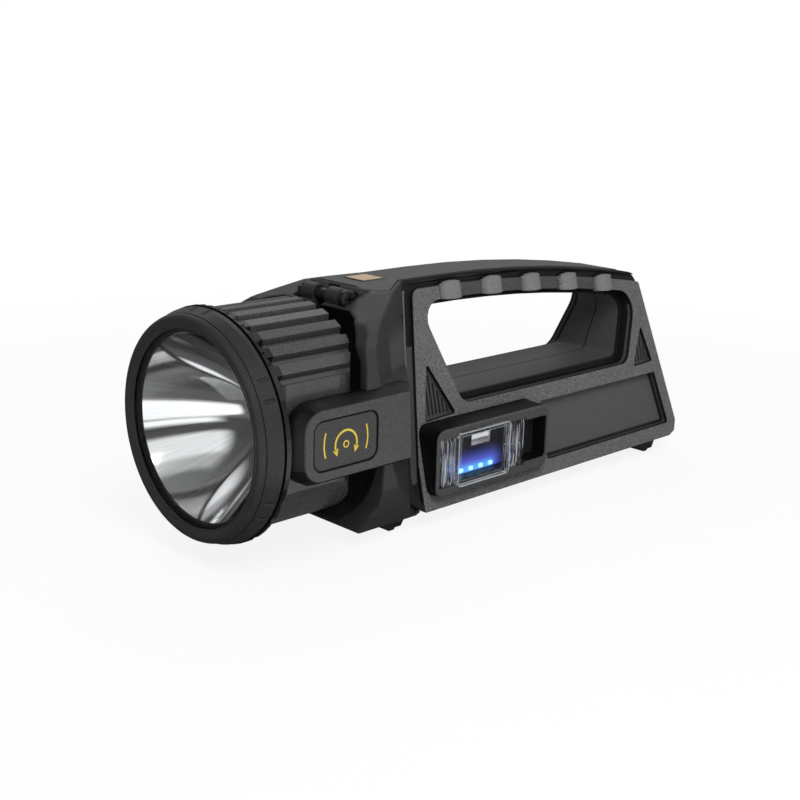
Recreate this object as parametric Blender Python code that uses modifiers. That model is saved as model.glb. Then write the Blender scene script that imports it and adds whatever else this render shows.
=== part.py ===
# Handheld searchlight: a round head that tilts in a two-armed yoke, on a body with a carrying handle.
# Lengths are in metres. While it is built, the bezel's front face is at x = 0 and the head's axis is
# at z = 0; one empty then sets the lamp on the ground with its middle over the origin.

import math

import bmesh
import bpy
from mathutils import Matrix, Vector

# Driving sizes: the head
COLLAR_RADIUS = 0.0500
COLLAR_BACK = 0.0132
BEZEL_LENGTH = 0.0103
BAND_STEP = 0.0006
FACE_STEP = 0.0030
MOUTH_STEP = 0.0086
SHELL_STEP = 0.0040
SHELL_BACK = 0.0585
SHELL_WALL = 0.0030
SHELL_FLAT_STEP = 0.0050
SHELL_CORNER_RADIUS = 0.0130
RIB_RISE = 0.0022
RIB_SINK = 0.0007
RIB_SIDE_ANGLE = math.radians(62)
RIBS_A_SIDE = 6

BEZEL_BAND_RADIUS = COLLAR_RADIUS - BAND_STEP
BEZEL_FRONT_RADIUS = COLLAR_RADIUS - FACE_STEP
BEZEL_MOUTH_RADIUS = COLLAR_RADIUS - MOUTH_STEP
SHELL_RADIUS = COLLAR_RADIUS - SHELL_STEP
SHELL_HALF_WIDTH = SHELL_RADIUS - SHELL_FLAT_STEP
RIB_RADIUS = SHELL_RADIUS + RIB_RISE
RIB_ROOT_RADIUS = SHELL_RADIUS - RIB_SINK

# Driving sizes: the tilting joint and the yoke
PIVOT_FROM_BACK = 0.0205
PIVOT_RADIUS = 0.0050
POCKET_CLEARANCE = 0.00112
ARM_CLEARANCE = 0.0013
ARM_THICKNESS = 0.0042
ARM_FRONT_GAP = 0.0018
ARM_HALF_HEIGHT = 0.0170
ARM_CORNER_RADIUS = 0.0120
CAP_RISE = 0.0052
CAP_REACH = 0.0380
YOKE_WEB = 0.0075
YOKE_DROP = 0.0020

PIVOT_X = SHELL_BACK - PIVOT_FROM_BACK
POCKET_RADIUS = math.hypot(PIVOT_FROM_BACK, RIB_RADIUS) + POCKET_CLEARANCE
ARM_INNER = SHELL_HALF_WIDTH + ARM_CLEARANCE
ARM_OUTER = ARM_INNER + ARM_THICKNESS
ARM_FRONT = COLLAR_BACK + ARM_FRONT_GAP
CAP_FACE = ARM_OUTER + CAP_RISE
CAP_BACK = PIVOT_X + CAP_REACH

# Driving sizes: the body and the grip
BODY_LENGTH = 0.1990
FRONT_LEAN = 0.146
TOP_RISE = 0.0044
BOTTOM_DROP = 0.0030
BODY_SIDE = 0.0259
SIDE_LEAN = 0.245
TOP_FLAT_LENGTH = 0.0326
TOP_ARC_RADIUS = 0.8225
BODY_WALL = 0.0025
BACK_CORNER_STEP = 0.0095
BACK_LEAN = 0.246
OPENING_FLOOR_HEIGHT = 0.0457
OPENING_FRONT_STEP = 0.0368
OPENING_BACK_STEP = 0.0272
OPENING_LEAN = 0.415
OPENING_SIDE_STEP = 0.0060
GRIP_DEPTH = 0.0137
COVER_THICKNESS = 0.0026
COVER_SIDE_STEP = 0.0013
RIM_DROP = 0.0005
FOOT_HEIGHT = 0.0083

FRONT_EDGE = PIVOT_X + POCKET_RADIUS + YOKE_WEB
BODY_BACK = FRONT_EDGE + BODY_LENGTH
BODY_TOP = RIB_RADIUS + TOP_RISE
BODY_BOTTOM = -SHELL_RADIUS - BOTTOM_DROP
YOKE_BOTTOM = BODY_BOTTOM - YOKE_DROP
FLOOR_DROP = FOOT_HEIGHT - BODY_BOTTOM
TOP_FLAT_END = FRONT_EDGE + TOP_FLAT_LENGTH
BACK_CORNER_X = BODY_BACK - BACK_CORNER_STEP
OPENING_FLOOR = BODY_BOTTOM + OPENING_FLOOR_HEIGHT
OPENING_FRONT = FRONT_EDGE + OPENING_FRONT_STEP
OPENING_BACK = BACK_CORNER_X - OPENING_BACK_STEP
OPENING_SIDE = BODY_SIDE - OPENING_SIDE_STEP
COVER_HALF_WIDTH = BODY_SIDE - SIDE_LEAN * BODY_TOP - COVER_SIDE_STEP

# Fits shared by all pieces
GAP = 0.0003
OVERRUN = 0.0040
BLEND = 0.0010
WELD = 0.000002

DECK = BODY_TOP - COVER_THICKNESS - GAP
NOSE_CORNER_HEIGHT = 0.0060
HEEL_STEP = 0.0025
NOSE_CORNER_UP = BODY_BOTTOM + NOSE_CORNER_HEIGHT
NOSE_CORNER = (FRONT_EDGE + FRONT_LEAN * NOSE_CORNER_UP, NOSE_CORNER_UP)
HEEL_CORNER = (FRONT_EDGE + HEEL_STEP, BODY_BOTTOM)


def front_at(up):
    """Where the seam between the yoke and the body is at a height."""
    return FRONT_EDGE + FRONT_LEAN * up


def start_clean():
    """Empty the scene and make the collection."""
    for old in list(bpy.data.objects):
        bpy.data.objects.remove(old, do_unlink=True)
    made = bpy.data.collections.new("handheld_searchlight")
    bpy.context.scene.collection.children.link(made)
    return made


PARTS = start_clean()


def material(name, colour, roughness, metallic=0.0, alpha=1.0):
    """One Principled BSDF with a plain colour."""
    made = bpy.data.materials.new(name)
    made.use_nodes = True
    shader = made.node_tree.nodes["Principled BSDF"]
    shader.inputs["Base Color"].default_value = (*colour, 1.0)
    shader.inputs["Roughness"].default_value = roughness
    shader.inputs["Metallic"].default_value = metallic
    shader.inputs["Alpha"].default_value = alpha
    return made


SMOOTH_BLACK = material("smooth_black", (0.025, 0.025, 0.027), 0.42)
TEXTURED_BLACK = material("textured_black", (0.05, 0.05, 0.052), 0.7)
CLEAR = material("clear_plastic", (0.85, 0.9, 0.95), 0.08, alpha=0.35)
CHROME = material("chrome", (0.85, 0.86, 0.88), 0.05, metallic=1.0)
RUBBER = material("rubber", (0.02, 0.02, 0.02), 0.85)
STEEL = material("steel", (0.55, 0.56, 0.58), 0.3, metallic=1.0)
ALUMINIUM = material("aluminium", (0.7, 0.71, 0.73), 0.4, metallic=1.0)
BRONZE = material("bronze", (0.55, 0.38, 0.2), 0.4, metallic=1.0)
AMBER = material("amber", (0.8, 0.5, 0.25), 0.4)
BOARD_GREEN = material("board_green", (0.02, 0.18, 0.08), 0.5)
WHITE = material("white_plastic", (0.8, 0.8, 0.8), 0.5)
BLUE = material("blue_light", (0.05, 0.25, 0.9), 0.3)
CELL_BLUE = material("cell_sleeve", (0.06, 0.16, 0.4), 0.4)


def keep(obj, name, finish, parent=None):
    """Name a finished piece, give it its material and hang it on its parent."""
    obj.name = name
    obj.data.name = name
    obj.data.materials.clear()
    obj.data.materials.append(finish)
    if parent is not None:
        obj.parent = parent
        obj.matrix_parent_inverse = parent.matrix_world.inverted()
    return obj


def tidy(mesh):
    """Weld a mesh and turn its faces outward."""
    work = bmesh.new()
    work.from_mesh(mesh)
    bmesh.ops.remove_doubles(work, verts=work.verts, dist=1e-7)
    bmesh.ops.recalc_face_normals(work, faces=work.faces)
    work.to_mesh(mesh)
    work.free()


def linked(name, mesh):
    """Put a mesh in the scene as an object."""
    obj = bpy.data.objects.new(name, mesh)
    PARTS.objects.link(obj)
    return obj


def baked(obj):
    """Apply an object's modifiers."""
    bpy.context.view_layer.update()
    result = obj.evaluated_get(bpy.context.evaluated_depsgraph_get())
    mesh = bpy.data.meshes.new_from_object(result)
    obj.modifiers.clear()
    obj.data = mesh
    return obj


def combine(obj, other, operation):
    """Boolean another object into this one and drop the other."""
    change = obj.modifiers.new("boolean", "BOOLEAN")
    change.operation = operation
    change.solver = "EXACT"
    change.object = other
    baked(obj)
    bpy.data.objects.remove(other, do_unlink=True)
    work = bmesh.new()
    work.from_mesh(obj.data)
    bmesh.ops.remove_doubles(work, verts=work.verts, dist=WELD)
    bmesh.ops.dissolve_degenerate(work, dist=WELD, edges=work.edges)
    work.to_mesh(obj.data)
    work.free()
    return obj


def cut(obj, *cutters):
    for cutter in cutters:
        combine(obj, cutter, "DIFFERENCE")
    return obj


def join(obj, *others):
    for other in others:
        combine(obj, other, "UNION")
    return obj


def common(obj, *others):
    for other in others:
        combine(obj, other, "INTERSECT")
    return obj


def rounded(corners, step=math.radians(20)):
    """Points of an outline from corners (u, v, radius), with arcs in place of rounded corners."""
    points = []
    for index, (u, v, radius) in enumerate(corners):
        here = Vector((u, v))
        before = Vector(corners[index - 1][:2]) - here
        after = Vector(corners[(index + 1) % len(corners)][:2]) - here
        if radius == 0:
            points.append(here)
            continue
        before.normalize()
        after.normalize()
        half = before.angle(after) / 2
        centre = here + (before + after).normalized() * (radius / math.sin(half))
        first = here + before * (radius / math.tan(half)) - centre
        turn = math.pi - 2 * half
        sign = math.copysign(1, first.cross(here - centre))
        count = max(2, math.ceil(turn / step))
        for part in range(count + 1):
            angle = sign * turn * part / count
            spun = Vector((first.x * math.cos(angle) - first.y * math.sin(angle),
                           first.x * math.sin(angle) + first.y * math.cos(angle)))
            points.append(centre + spun)
    return points


AXIS_FRAMES = {
    "X": Matrix(((0, 0, 1), (1, 0, 0), (0, 1, 0))),
    "Y": Matrix(((1, 0, 0), (0, 0, -1), (0, 1, 0))),
    "Z": Matrix.Identity(3),
}


def prism(outlines, axis, low, high):
    """A flat outline, or several with holes in the first, drawn across an axis and made thick along it."""
    flat = bpy.data.curves.new("outline", "CURVE")
    flat.dimensions = "2D"
    flat.fill_mode = "BOTH"
    flat.extrude = (high - low) / 2
    for outline in outlines:
        line = flat.splines.new("POLY")
        line.points.add(len(outline) - 1)
        for point, place in zip(line.points, outline):
            point.co = (place[0], place[1], 0, 1)
        line.use_cyclic_u = True
    curve = bpy.data.objects.new("outline", flat)
    PARTS.objects.link(curve)
    mesh = bpy.data.meshes.new_from_object(curve)
    bpy.data.objects.remove(curve, do_unlink=True)
    middle = {"X": (1, 0, 0), "Y": (0, 1, 0), "Z": (0, 0, 1)}[axis]
    shift = Matrix.Translation(Vector(middle) * ((low + high) / 2))
    mesh.transform(shift @ AXIS_FRAMES[axis].to_4x4())
    tidy(mesh)
    return linked("prism", mesh)


def side_plate(outlines, low, high, side, flare=0, centre=(0, 0)):
    """A prism whose two faces lie along the body's leaning side. Heights are counted out from the
    middle at the head's axis. A flare widens its outer end about a centre."""
    obj = prism(outlines, "Y", low, high)
    for vertex in obj.data.vertices:
        place = vertex.co
        if flare and place.y > (low + high) / 2:
            away = Vector((place.x - centre[0], place.z - centre[1]))
            away *= 1 + flare
            place.x = centre[0] + away.x
            place.z = centre[1] + away.y
        place.y = side * (place.y - SIDE_LEAN * place.z)
    tidy(obj.data)
    return obj


def box(x, y, z):
    """A box between two places on each axis."""
    mesh = bpy.data.meshes.new("box")
    work = bmesh.new()
    bmesh.ops.create_cube(work, size=1)
    scale = Matrix.Diagonal((x[1] - x[0], abs(y[1] - y[0]), z[1] - z[0], 1))
    middle = Matrix.Translation(((x[0] + x[1]) / 2, (y[0] + y[1]) / 2, (z[0] + z[1]) / 2))
    bmesh.ops.transform(work, matrix=middle @ scale, verts=work.verts)
    work.to_mesh(mesh)
    work.free()
    return linked("box", mesh)


TURNS = {"X": Matrix.Rotation(math.pi / 2, 4, "Y"), "Y": Matrix.Rotation(-math.pi / 2, 4, "X"),
         "Z": Matrix.Identity(4)}


def rod(axis, low, high, radius, centre, steps=32):
    """A cylinder along an axis, centred on the two other coordinates."""
    mesh = bpy.data.meshes.new("rod")
    work = bmesh.new()
    bmesh.ops.create_cone(work, cap_ends=True, segments=steps, radius1=radius, radius2=radius,
                          depth=abs(high - low))
    bmesh.ops.transform(work, matrix=TURNS[axis], verts=work.verts)
    along = (low + high) / 2
    spots = {"X": (along, *centre), "Y": (centre[0], along, centre[1]), "Z": (*centre, along)}
    bmesh.ops.translate(work, vec=spots[axis], verts=work.verts)
    work.to_mesh(mesh)
    work.free()
    return linked("rod", mesh)


def turned(profile, axis="X", centre=(0, 0, 0), steps=48, flip=False):
    """A profile of (radius, distance along the axis) turned once round the axis. It is either a ring,
    or begins and ends on the axis."""
    mesh = bpy.data.meshes.new("turned")
    work = bmesh.new()
    corners = [work.verts.new((radius, 0, along)) for radius, along in profile]
    for before, after in zip(corners, corners[1:]):
        work.edges.new((before, after))
    if profile[0][0] > 0:
        work.edges.new((corners[-1], corners[0]))
    work.to_mesh(mesh)
    work.free()
    obj = linked("turned", mesh)
    screw = obj.modifiers.new("screw", "SCREW")
    screw.steps = steps
    screw.render_steps = steps
    screw.use_merge_vertices = True
    screw.merge_threshold = 1e-5
    baked(obj)
    flipped = Matrix.Rotation(math.pi, 4, "X") if flip else Matrix.Identity(4)
    obj.data.transform(Matrix.Translation(centre) @ TURNS[axis] @ flipped)
    work = bmesh.new()
    work.from_mesh(obj.data)
    bmesh.ops.dissolve_degenerate(work, dist=1e-7, edges=work.edges)
    work.to_mesh(obj.data)
    work.free()
    tidy(obj.data)
    return obj


def eased(obj, width, segments=1, angle=math.radians(50)):
    """Bevel an object's sharp edges."""
    bevel = obj.modifiers.new("bevel", "BEVEL")
    bevel.width = width
    bevel.segments = segments
    bevel.limit_method = "ANGLE"
    bevel.angle_limit = angle
    bevel.miter_outer = "MITER_ARC" if segments > 1 else "MITER_SHARP"
    return baked(obj)


def smoothed(obj, angle=math.radians(35)):
    """Smooth shading with hard edges kept."""
    for face in obj.data.polygons:
        face.use_smooth = True
    work = bmesh.new()
    work.from_mesh(obj.data)
    for edge in work.edges:
        if edge.calc_face_angle(0) > angle:
            edge.smooth = False
    work.to_mesh(obj.data)
    work.free()
    return obj


def empty(name, place, parent=None):
    made = bpy.data.objects.new(name, None)
    PARTS.objects.link(made)
    made.location = place
    bpy.context.view_layer.update()
    if parent is not None:
        made.parent = parent
        made.matrix_parent_inverse = parent.matrix_world.inverted()
    bpy.context.view_layer.update()
    return made


# The optics, stacked behind the bezel's lip
LIP_THICKNESS = 0.0018
LENS_THICKNESS = 0.0020
LENS_STEP = 0.0070
GASKET_THICKNESS = 0.0008
GASKET_WIDTH = 0.0032
FLANGE_THICKNESS = 0.0010
NECK_STEP = 0.0060
LENS_RADIUS = COLLAR_RADIUS - LENS_STEP
GASKET_BORE = LENS_RADIUS - GASKET_WIDTH
NECK_RADIUS = COLLAR_RADIUS - NECK_STEP
BORE_RADIUS = SHELL_RADIUS - SHELL_WALL
LENS_FRONT = LIP_THICKNESS + GAP
GASKET_FRONT = LENS_FRONT + LENS_THICKNESS + GAP
FLANGE_FRONT = GASKET_FRONT + GASKET_THICKNESS + GAP
NECK_FRONT = FLANGE_FRONT + FLANGE_THICKNESS + GAP
COLLAR_FRONT = BEZEL_LENGTH + 2 * GAP


def bezel_ring(parent):
    """Front ring: a stepped face, a grooved side band with snap slots, and a seat for the lens."""
    face_step = 0.0023
    groove = 0.0007
    front_band = 0.0024
    edge = 0.0008
    slope_end = 0.0080
    mouth = BEZEL_MOUTH_RADIUS
    face = BEZEL_FRONT_RADIUS
    band = BEZEL_BAND_RADIUS
    seat = NECK_RADIUS + GAP
    profile = [
        (face - edge, 0), (face, edge), (face + edge, front_band), (face, front_band),
        (face, front_band + groove), (face + edge + GAP, front_band + groove),
        (band, slope_end), (band, BEZEL_LENGTH), (seat, BEZEL_LENGTH), (seat, LIP_THICKNESS),
        (mouth, LIP_THICKNESS), (mouth, LIP_THICKNESS - edge / 2), (mouth + edge, LIP_THICKNESS - edge / 2),
        (face - face_step, 0)]
    ring = turned(profile, steps=60)
    slot_length = 0.0042
    slot_width = 0.0009
    slot_depth = 0.0006
    pair_angle = math.radians(5)
    for group in range(6):
        for sign in (-1, 1):
            angle = math.radians(60) * group + sign * pair_angle
            slot = box((BEZEL_LENGTH - slot_length - edge, BEZEL_LENGTH - edge),
                       (-slot_width / 2, slot_width / 2),
                       (band - slot_depth, band + slot_depth * 2))
            slot.data.transform(Matrix.Rotation(angle + math.radians(30), 4, "X"))
            cut(ring, slot)
    return keep(smoothed(ring), "bezel_ring", SMOOTH_BLACK, parent)


def optics(parent):
    """Lens, gasket and reflector, one behind the other."""
    back = LENS_FRONT + LENS_THICKNESS
    lens = turned([(0, LENS_FRONT), (LENS_RADIUS, LENS_FRONT), (LENS_RADIUS, back), (0, back)])
    keep(smoothed(lens), "lens", CLEAR, parent)
    back = GASKET_FRONT + GASKET_THICKNESS
    gasket = turned([(GASKET_BORE, GASKET_FRONT), (LENS_RADIUS, GASKET_FRONT), (LENS_RADIUS, back),
                     (GASKET_BORE, back)])
    keep(smoothed(gasket), "lens_gasket", RUBBER, parent)
    reflector(parent)


FLANGE_WIDTH = 0.0036
REFLECTOR_THROAT = 0.0050
REFLECTOR_FROM_BACK = 0.0195
REFLECTOR_MOUTH = LENS_RADIUS - FLANGE_WIDTH
REFLECTOR_BACK = SHELL_BACK - REFLECTOR_FROM_BACK
REFLECTOR_WALL = 0.0010


def reflector(parent):
    """Deep parabolic bowl with a flange at its mouth and an open throat."""
    depth = REFLECTOR_BACK - FLANGE_FRONT
    focal = (REFLECTOR_MOUTH ** 2 - REFLECTOR_THROAT ** 2) / (4 * depth)
    rings = 10
    inner = []
    for part in range(rings + 1):
        radius = REFLECTOR_MOUTH + (REFLECTOR_THROAT - REFLECTOR_MOUTH) * part / rings
        along = REFLECTOR_BACK - (radius ** 2 - REFLECTOR_THROAT ** 2) / (4 * focal)
        inner.append((radius, along))
    flange_back = FLANGE_FRONT + FLANGE_THICKNESS
    outer = [(LENS_RADIUS, FLANGE_FRONT), (LENS_RADIUS, flange_back)]
    for radius, along in inner[:-1]:
        slope = math.atan(radius / (2 * focal))
        place = (radius + REFLECTOR_WALL * math.cos(slope), along + REFLECTOR_WALL * math.sin(slope))
        if place[1] > flange_back + REFLECTOR_WALL / 4:
            outer.append(place)
    outer.append((REFLECTOR_THROAT + REFLECTOR_WALL, REFLECTOR_BACK))
    bowl = turned(outer + inner[::-1], steps=36)
    return keep(smoothed(bowl), "reflector", CHROME, parent)


LED_BOARD_THICKNESS = 0.0016
LED_BOARD_FRONT = REFLECTOR_BACK + GAP
SINK_FRONT = LED_BOARD_FRONT + LED_BOARD_THICKNESS + GAP


def light_source(parent):
    """Domed emitter on its round board, and the finned heat sink that carries both."""
    base = 0.0036
    dome = 0.0026
    base_height = 0.0009
    back = LED_BOARD_FRONT - GAP
    front = back - base_height
    profile = [(0, back), (base, back), (base, front), (dome, front)]
    for part in range(1, 6):
        angle = math.radians(90) * part / 6
        profile.append((dome * math.cos(angle), front - dome * math.sin(angle)))
    profile.append((0, front - dome))
    keep(smoothed(turned(profile, steps=32)), "led_emitter", WHITE, parent)

    board_radius = 0.0110
    board = rod("X", LED_BOARD_FRONT, LED_BOARD_FRONT + LED_BOARD_THICKNESS, board_radius, (0, 0))
    keep(smoothed(board), "led_board", ALUMINIUM, parent)

    plate = 0.0030
    fin_height = 0.0065
    fin_thickness = 0.0014
    fins = 7
    flat_step = 0.0065
    half_width = SHELL_HALF_WIDTH - flat_step
    edge_spaces = 2
    fin_share = 0.55
    back = SINK_FRONT + plate
    sink = rod("X", SINK_FRONT, back, BORE_RADIUS - GAP, (0, 0), steps=64)
    common(sink, box((SINK_FRONT - OVERRUN, back + OVERRUN),
                     (-half_width, half_width), (-BORE_RADIUS, BORE_RADIUS)))
    pitch = 2 * half_width / (fins + edge_spaces)
    fin_reach = SHELL_RADIUS * fin_share
    for index in range(fins):
        middle = (index - (fins - 1) / 2) * pitch
        join(sink, box((back - BLEND, back + fin_height),
                       (middle - fin_thickness / 2, middle + fin_thickness / 2), (-fin_reach, fin_reach)))
    keep(smoothed(sink), "heat_sink", ALUMINIUM, parent)


def head_plan(half_width, back, radius):
    """Plan of the head's rear part: straight sides and rounded rear corners."""
    front = COLLAR_BACK - BLEND
    return rounded([(front, -half_width, 0), (back, -half_width, radius), (back, half_width, radius),
                    (front, half_width, 0)])


def rib_section():
    """Cross-section of the head: round below, saw-toothed ribs over the top and upper sides."""
    pitch = RIB_SIDE_ANGLE / RIBS_A_SIDE
    step = math.radians(1.2)
    groove = math.radians(1.3)
    half = [(0, RIB_RADIUS)]
    for index in range(RIBS_A_SIDE):
        middle = pitch * (index + 0.5)
        half.append((middle - groove - step, RIB_RADIUS))
        half.append((middle - groove, RIB_ROOT_RADIUS))
        half.append((middle + groove, RIB_ROOT_RADIUS))
        half.append((middle + groove + step, RIB_RADIUS))
    half.append((RIB_SIDE_ANGLE, RIB_RADIUS))
    half.append((RIB_SIDE_ANGLE + step, SHELL_RADIUS))
    count = 14
    for part in range(1, count + 1):
        angle = RIB_SIDE_ANGLE + step + (math.pi - RIB_SIDE_ANGLE - step) * part / count
        half.append((angle, SHELL_RADIUS))
    other = [(-angle, radius) for angle, radius in half[-2:0:-1]]
    return [(radius * math.sin(angle), radius * math.cos(angle)) for angle, radius in half + other]


def head_shell(parent):
    """Cup that holds the optics: a neck in the bezel, a collar, stepped ribs over the top and flat
    sides for the arms."""
    body = prism([rib_section()], "X", COLLAR_BACK - BLEND, SHELL_BACK)
    tall = RIB_RADIUS + OVERRUN
    common(body, prism([head_plan(SHELL_HALF_WIDTH, SHELL_BACK, SHELL_CORNER_RADIUS)], "Z", -tall, tall))
    neck = turned([(0, NECK_FRONT), (NECK_RADIUS, NECK_FRONT), (NECK_RADIUS, COLLAR_FRONT),
                   (COLLAR_RADIUS, COLLAR_FRONT), (COLLAR_RADIUS, COLLAR_BACK), (0, COLLAR_BACK)], steps=60)
    join(body, neck)
    inner_half = SHELL_HALF_WIDTH - SHELL_WALL
    inner_back = SHELL_BACK - SHELL_WALL
    inner_radius = SHELL_CORNER_RADIUS - SHELL_WALL
    mouth = NECK_FRONT - OVERRUN
    hollow_plan = [(mouth, tall, 0), (COLLAR_BACK, tall, 0), (COLLAR_BACK, inner_half, 0),
                   (inner_back, inner_half, inner_radius), (inner_back, -inner_half, inner_radius),
                   (COLLAR_BACK, -inner_half, 0), (COLLAR_BACK, -tall, 0), (mouth, -tall, 0)]
    hollow = rod("X", mouth - OVERRUN, SHELL_BACK, BORE_RADIUS, (0, 0), steps=48)
    cut(body, common(hollow, prism([rounded(hollow_plan)], "Z", -tall, tall)))
    cut(body, rod("Y", -SHELL_RADIUS, SHELL_RADIUS, PIVOT_RADIUS + GAP, (PIVOT_X, 0), steps=32))
    return keep(smoothed(body, math.radians(25)), "head_shell", SMOOTH_BLACK, parent)


BUSH_WALL = 0.0022
PIN_STAND = 0.0005
PIN_END = ARM_OUTER + PIN_STAND
SCREW_HEAD_THICKNESS = 0.0020
SCREW_SHANK_RADIUS = 0.0020


def pivot(name, side, head, root):
    """One side of the tilting joint: pin and screw turn with the head, bush and washer stay."""
    centre = (PIVOT_X, 0, 0)
    flange_radius = 0.0072
    flange = 0.0024
    inside = SHELL_HALF_WIDTH - SHELL_WALL - GAP
    hole = SCREW_SHANK_RADIUS + GAP
    hole_end = ARM_INNER - BUSH_WALL
    pin = turned([(0, inside - flange), (flange_radius, inside - flange), (flange_radius, inside),
                  (PIVOT_RADIUS, inside), (PIVOT_RADIUS, PIN_END), (hole, PIN_END), (hole, hole_end),
                  (0, hole_end)], "Y", centre, 32, flip=side < 0)
    keep(smoothed(pin), "pivot_pin_" + name, STEEL, head)
    head_radius = 0.0065
    under = PIN_END + GAP
    screw = turned([(0, hole_end + GAP), (SCREW_SHANK_RADIUS, hole_end + GAP), (SCREW_SHANK_RADIUS, under),
                    (head_radius, under), (head_radius, under + SCREW_HEAD_THICKNESS),
                    (0, under + SCREW_HEAD_THICKNESS)], "Y", centre, 32, flip=side < 0)
    keep(smoothed(screw), "pivot_screw_" + name, STEEL, head)
    bore = PIVOT_RADIUS + GAP
    bush = turned([(bore, ARM_INNER), (bore + BUSH_WALL, ARM_INNER), (bore + BUSH_WALL, ARM_OUTER),
                   (bore, ARM_OUTER)], "Y", centre, 32, flip=side < 0)
    keep(smoothed(bush), "pivot_bush_" + name, BRONZE, root)
    washer_radius = 0.0110
    low = SHELL_HALF_WIDTH + GAP
    high = ARM_INNER - GAP
    washer = turned([(bore, low), (washer_radius, low), (washer_radius, high), (bore, high)],
                    "Y", centre, 32, flip=side < 0)
    keep(smoothed(washer), "friction_washer_" + name, RUBBER, root)


# The yoke
LIP_STEP = 0.0287
LIP_DROP = 0.0099
NOSE_STEP = 0.0200
NOSE_HALF_WIDTH = 0.0160
NOSE_RIM = 0.0012
SHOULDER_STEP = 0.0150
SHOULDER_HALF_WIDTH = 0.0230
SHOULDER_DROP = 0.0021
CHEEK_STEP = 0.0175
CHEEK_TAPER_SHARE = 0.65
BUTTON_STEP = 0.0030
BUTTON_SIZE = 0.0136
WELL_SIZE = 0.0166
WELL_DEPTH = 0.0087
STRAP_STEP = 0.0258
STRAP_DROP = 0.0048
STRAP_RADIUS = 0.0028
KNUCKLE_RADIUS = 0.0043
KNUCKLE_INNER = 0.0038
KNUCKLE_OUTER = 0.0120
LIP_X = FRONT_EDGE - LIP_STEP
LIP_Z = BODY_TOP - LIP_DROP
NOSE_X = FRONT_EDGE - NOSE_STEP
SHOULDER_X = FRONT_EDGE - SHOULDER_STEP
CHEEK_X = PIVOT_X + CHEEK_STEP
BUTTON_X = FRONT_EDGE - BUTTON_STEP
WELL_FLOOR = DECK - WELL_DEPTH
STRAP_X = FRONT_EDGE - STRAP_STEP
STRAP_Z = BODY_TOP - STRAP_DROP

# Shares of the pocket's radius and of half the space between the arms
POCKET_SHARES = ((0, 1), (0.617, 1), (0.748, 0.898), (0.841, 0.816), (0.935, 0.697), (1, 0.520))
# Shares of half the yoke's width and of the deck's height
CHEEK_TOP_SHARES = ((0.645, 0.942), (0.785, 0.869), (0.892, 0.795), (0.968, 0.684), (1, 0.523))
# Shares of half the yoke's width and of the depth of its bottom
CHEEK_LOW_SHARES = ((0.95, 0.58), (0.83, 0.85), (0.72, 1))
# Shares of the way from the cheek's front to the shoulder and of the deck's height
CHEEK_FRONT_SHARES = ((0, 0.684), (0.14, 0.795), (0.228, 0.849))
# Blends back from the cheek's front, and shares of the arm's half height below the axis
SCOOP_SHARES = ((7, 2.2), (5, 1))


def arm_outline(radius, front=ARM_FRONT, high=ARM_HALF_HEIGHT, back=CAP_BACK):
    """The arm's outline from its rounded front end back into the yoke."""
    return rounded([(front, high, radius), (back, high, 0), (back, -high, 0), (front, -high, radius)])


def head_pocket():
    """The space the head turns in: widest round the middle, narrower toward the arms."""
    half = [(radius * POCKET_RADIUS, across * ARM_INNER) for radius, across in POCKET_SHARES]
    other = [(radius, -across) for radius, across in half[::-1]]
    return turned(half + other, "Y", (PIVOT_X, 0, 0), 52)


def taper(side, slope, low, high):
    """What lies outside a side wall that narrows toward the body's front edge at a slope."""
    run = OVERRUN / slope
    wide = CAP_FACE * 2
    plan = [(FRONT_EDGE + run, BODY_SIDE - OVERRUN), (FRONT_EDGE + run, wide),
            (FRONT_EDGE - (wide - BODY_SIDE) / slope, wide)]
    wedge = prism([plan], "Z", low, high)
    for vertex in wedge.data.vertices:
        place = vertex.co
        place.x += FRONT_LEAN * place.z
        place.y = side * (place.y - SIDE_LEAN * place.z)
    tidy(wedge.data)
    return wedge


ARM_SLOPE = (CAP_FACE - BODY_SIDE) / (FRONT_EDGE - CAP_BACK)


def cover_plan(grow):
    """Plan of the top cover: a wide front, then a strip along the grip."""
    waist = front_at(DECK) - BLEND + grow
    wide = SHOULDER_HALF_WIDTH - 2 * NOSE_RIM + grow
    half = [(NOSE_X + NOSE_RIM - grow, NOSE_HALF_WIDTH - NOSE_RIM + grow),
            (SHOULDER_X + 4 * BLEND - grow, wide), (SHOULDER_X + 8 * BLEND + grow, wide),
            (waist, COVER_HALF_WIDTH + grow),
            (COVER_BACK + OVERRUN, COVER_HALF_WIDTH + grow)]
    return [(along, -across) for along, across in half] + half[::-1]


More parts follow.
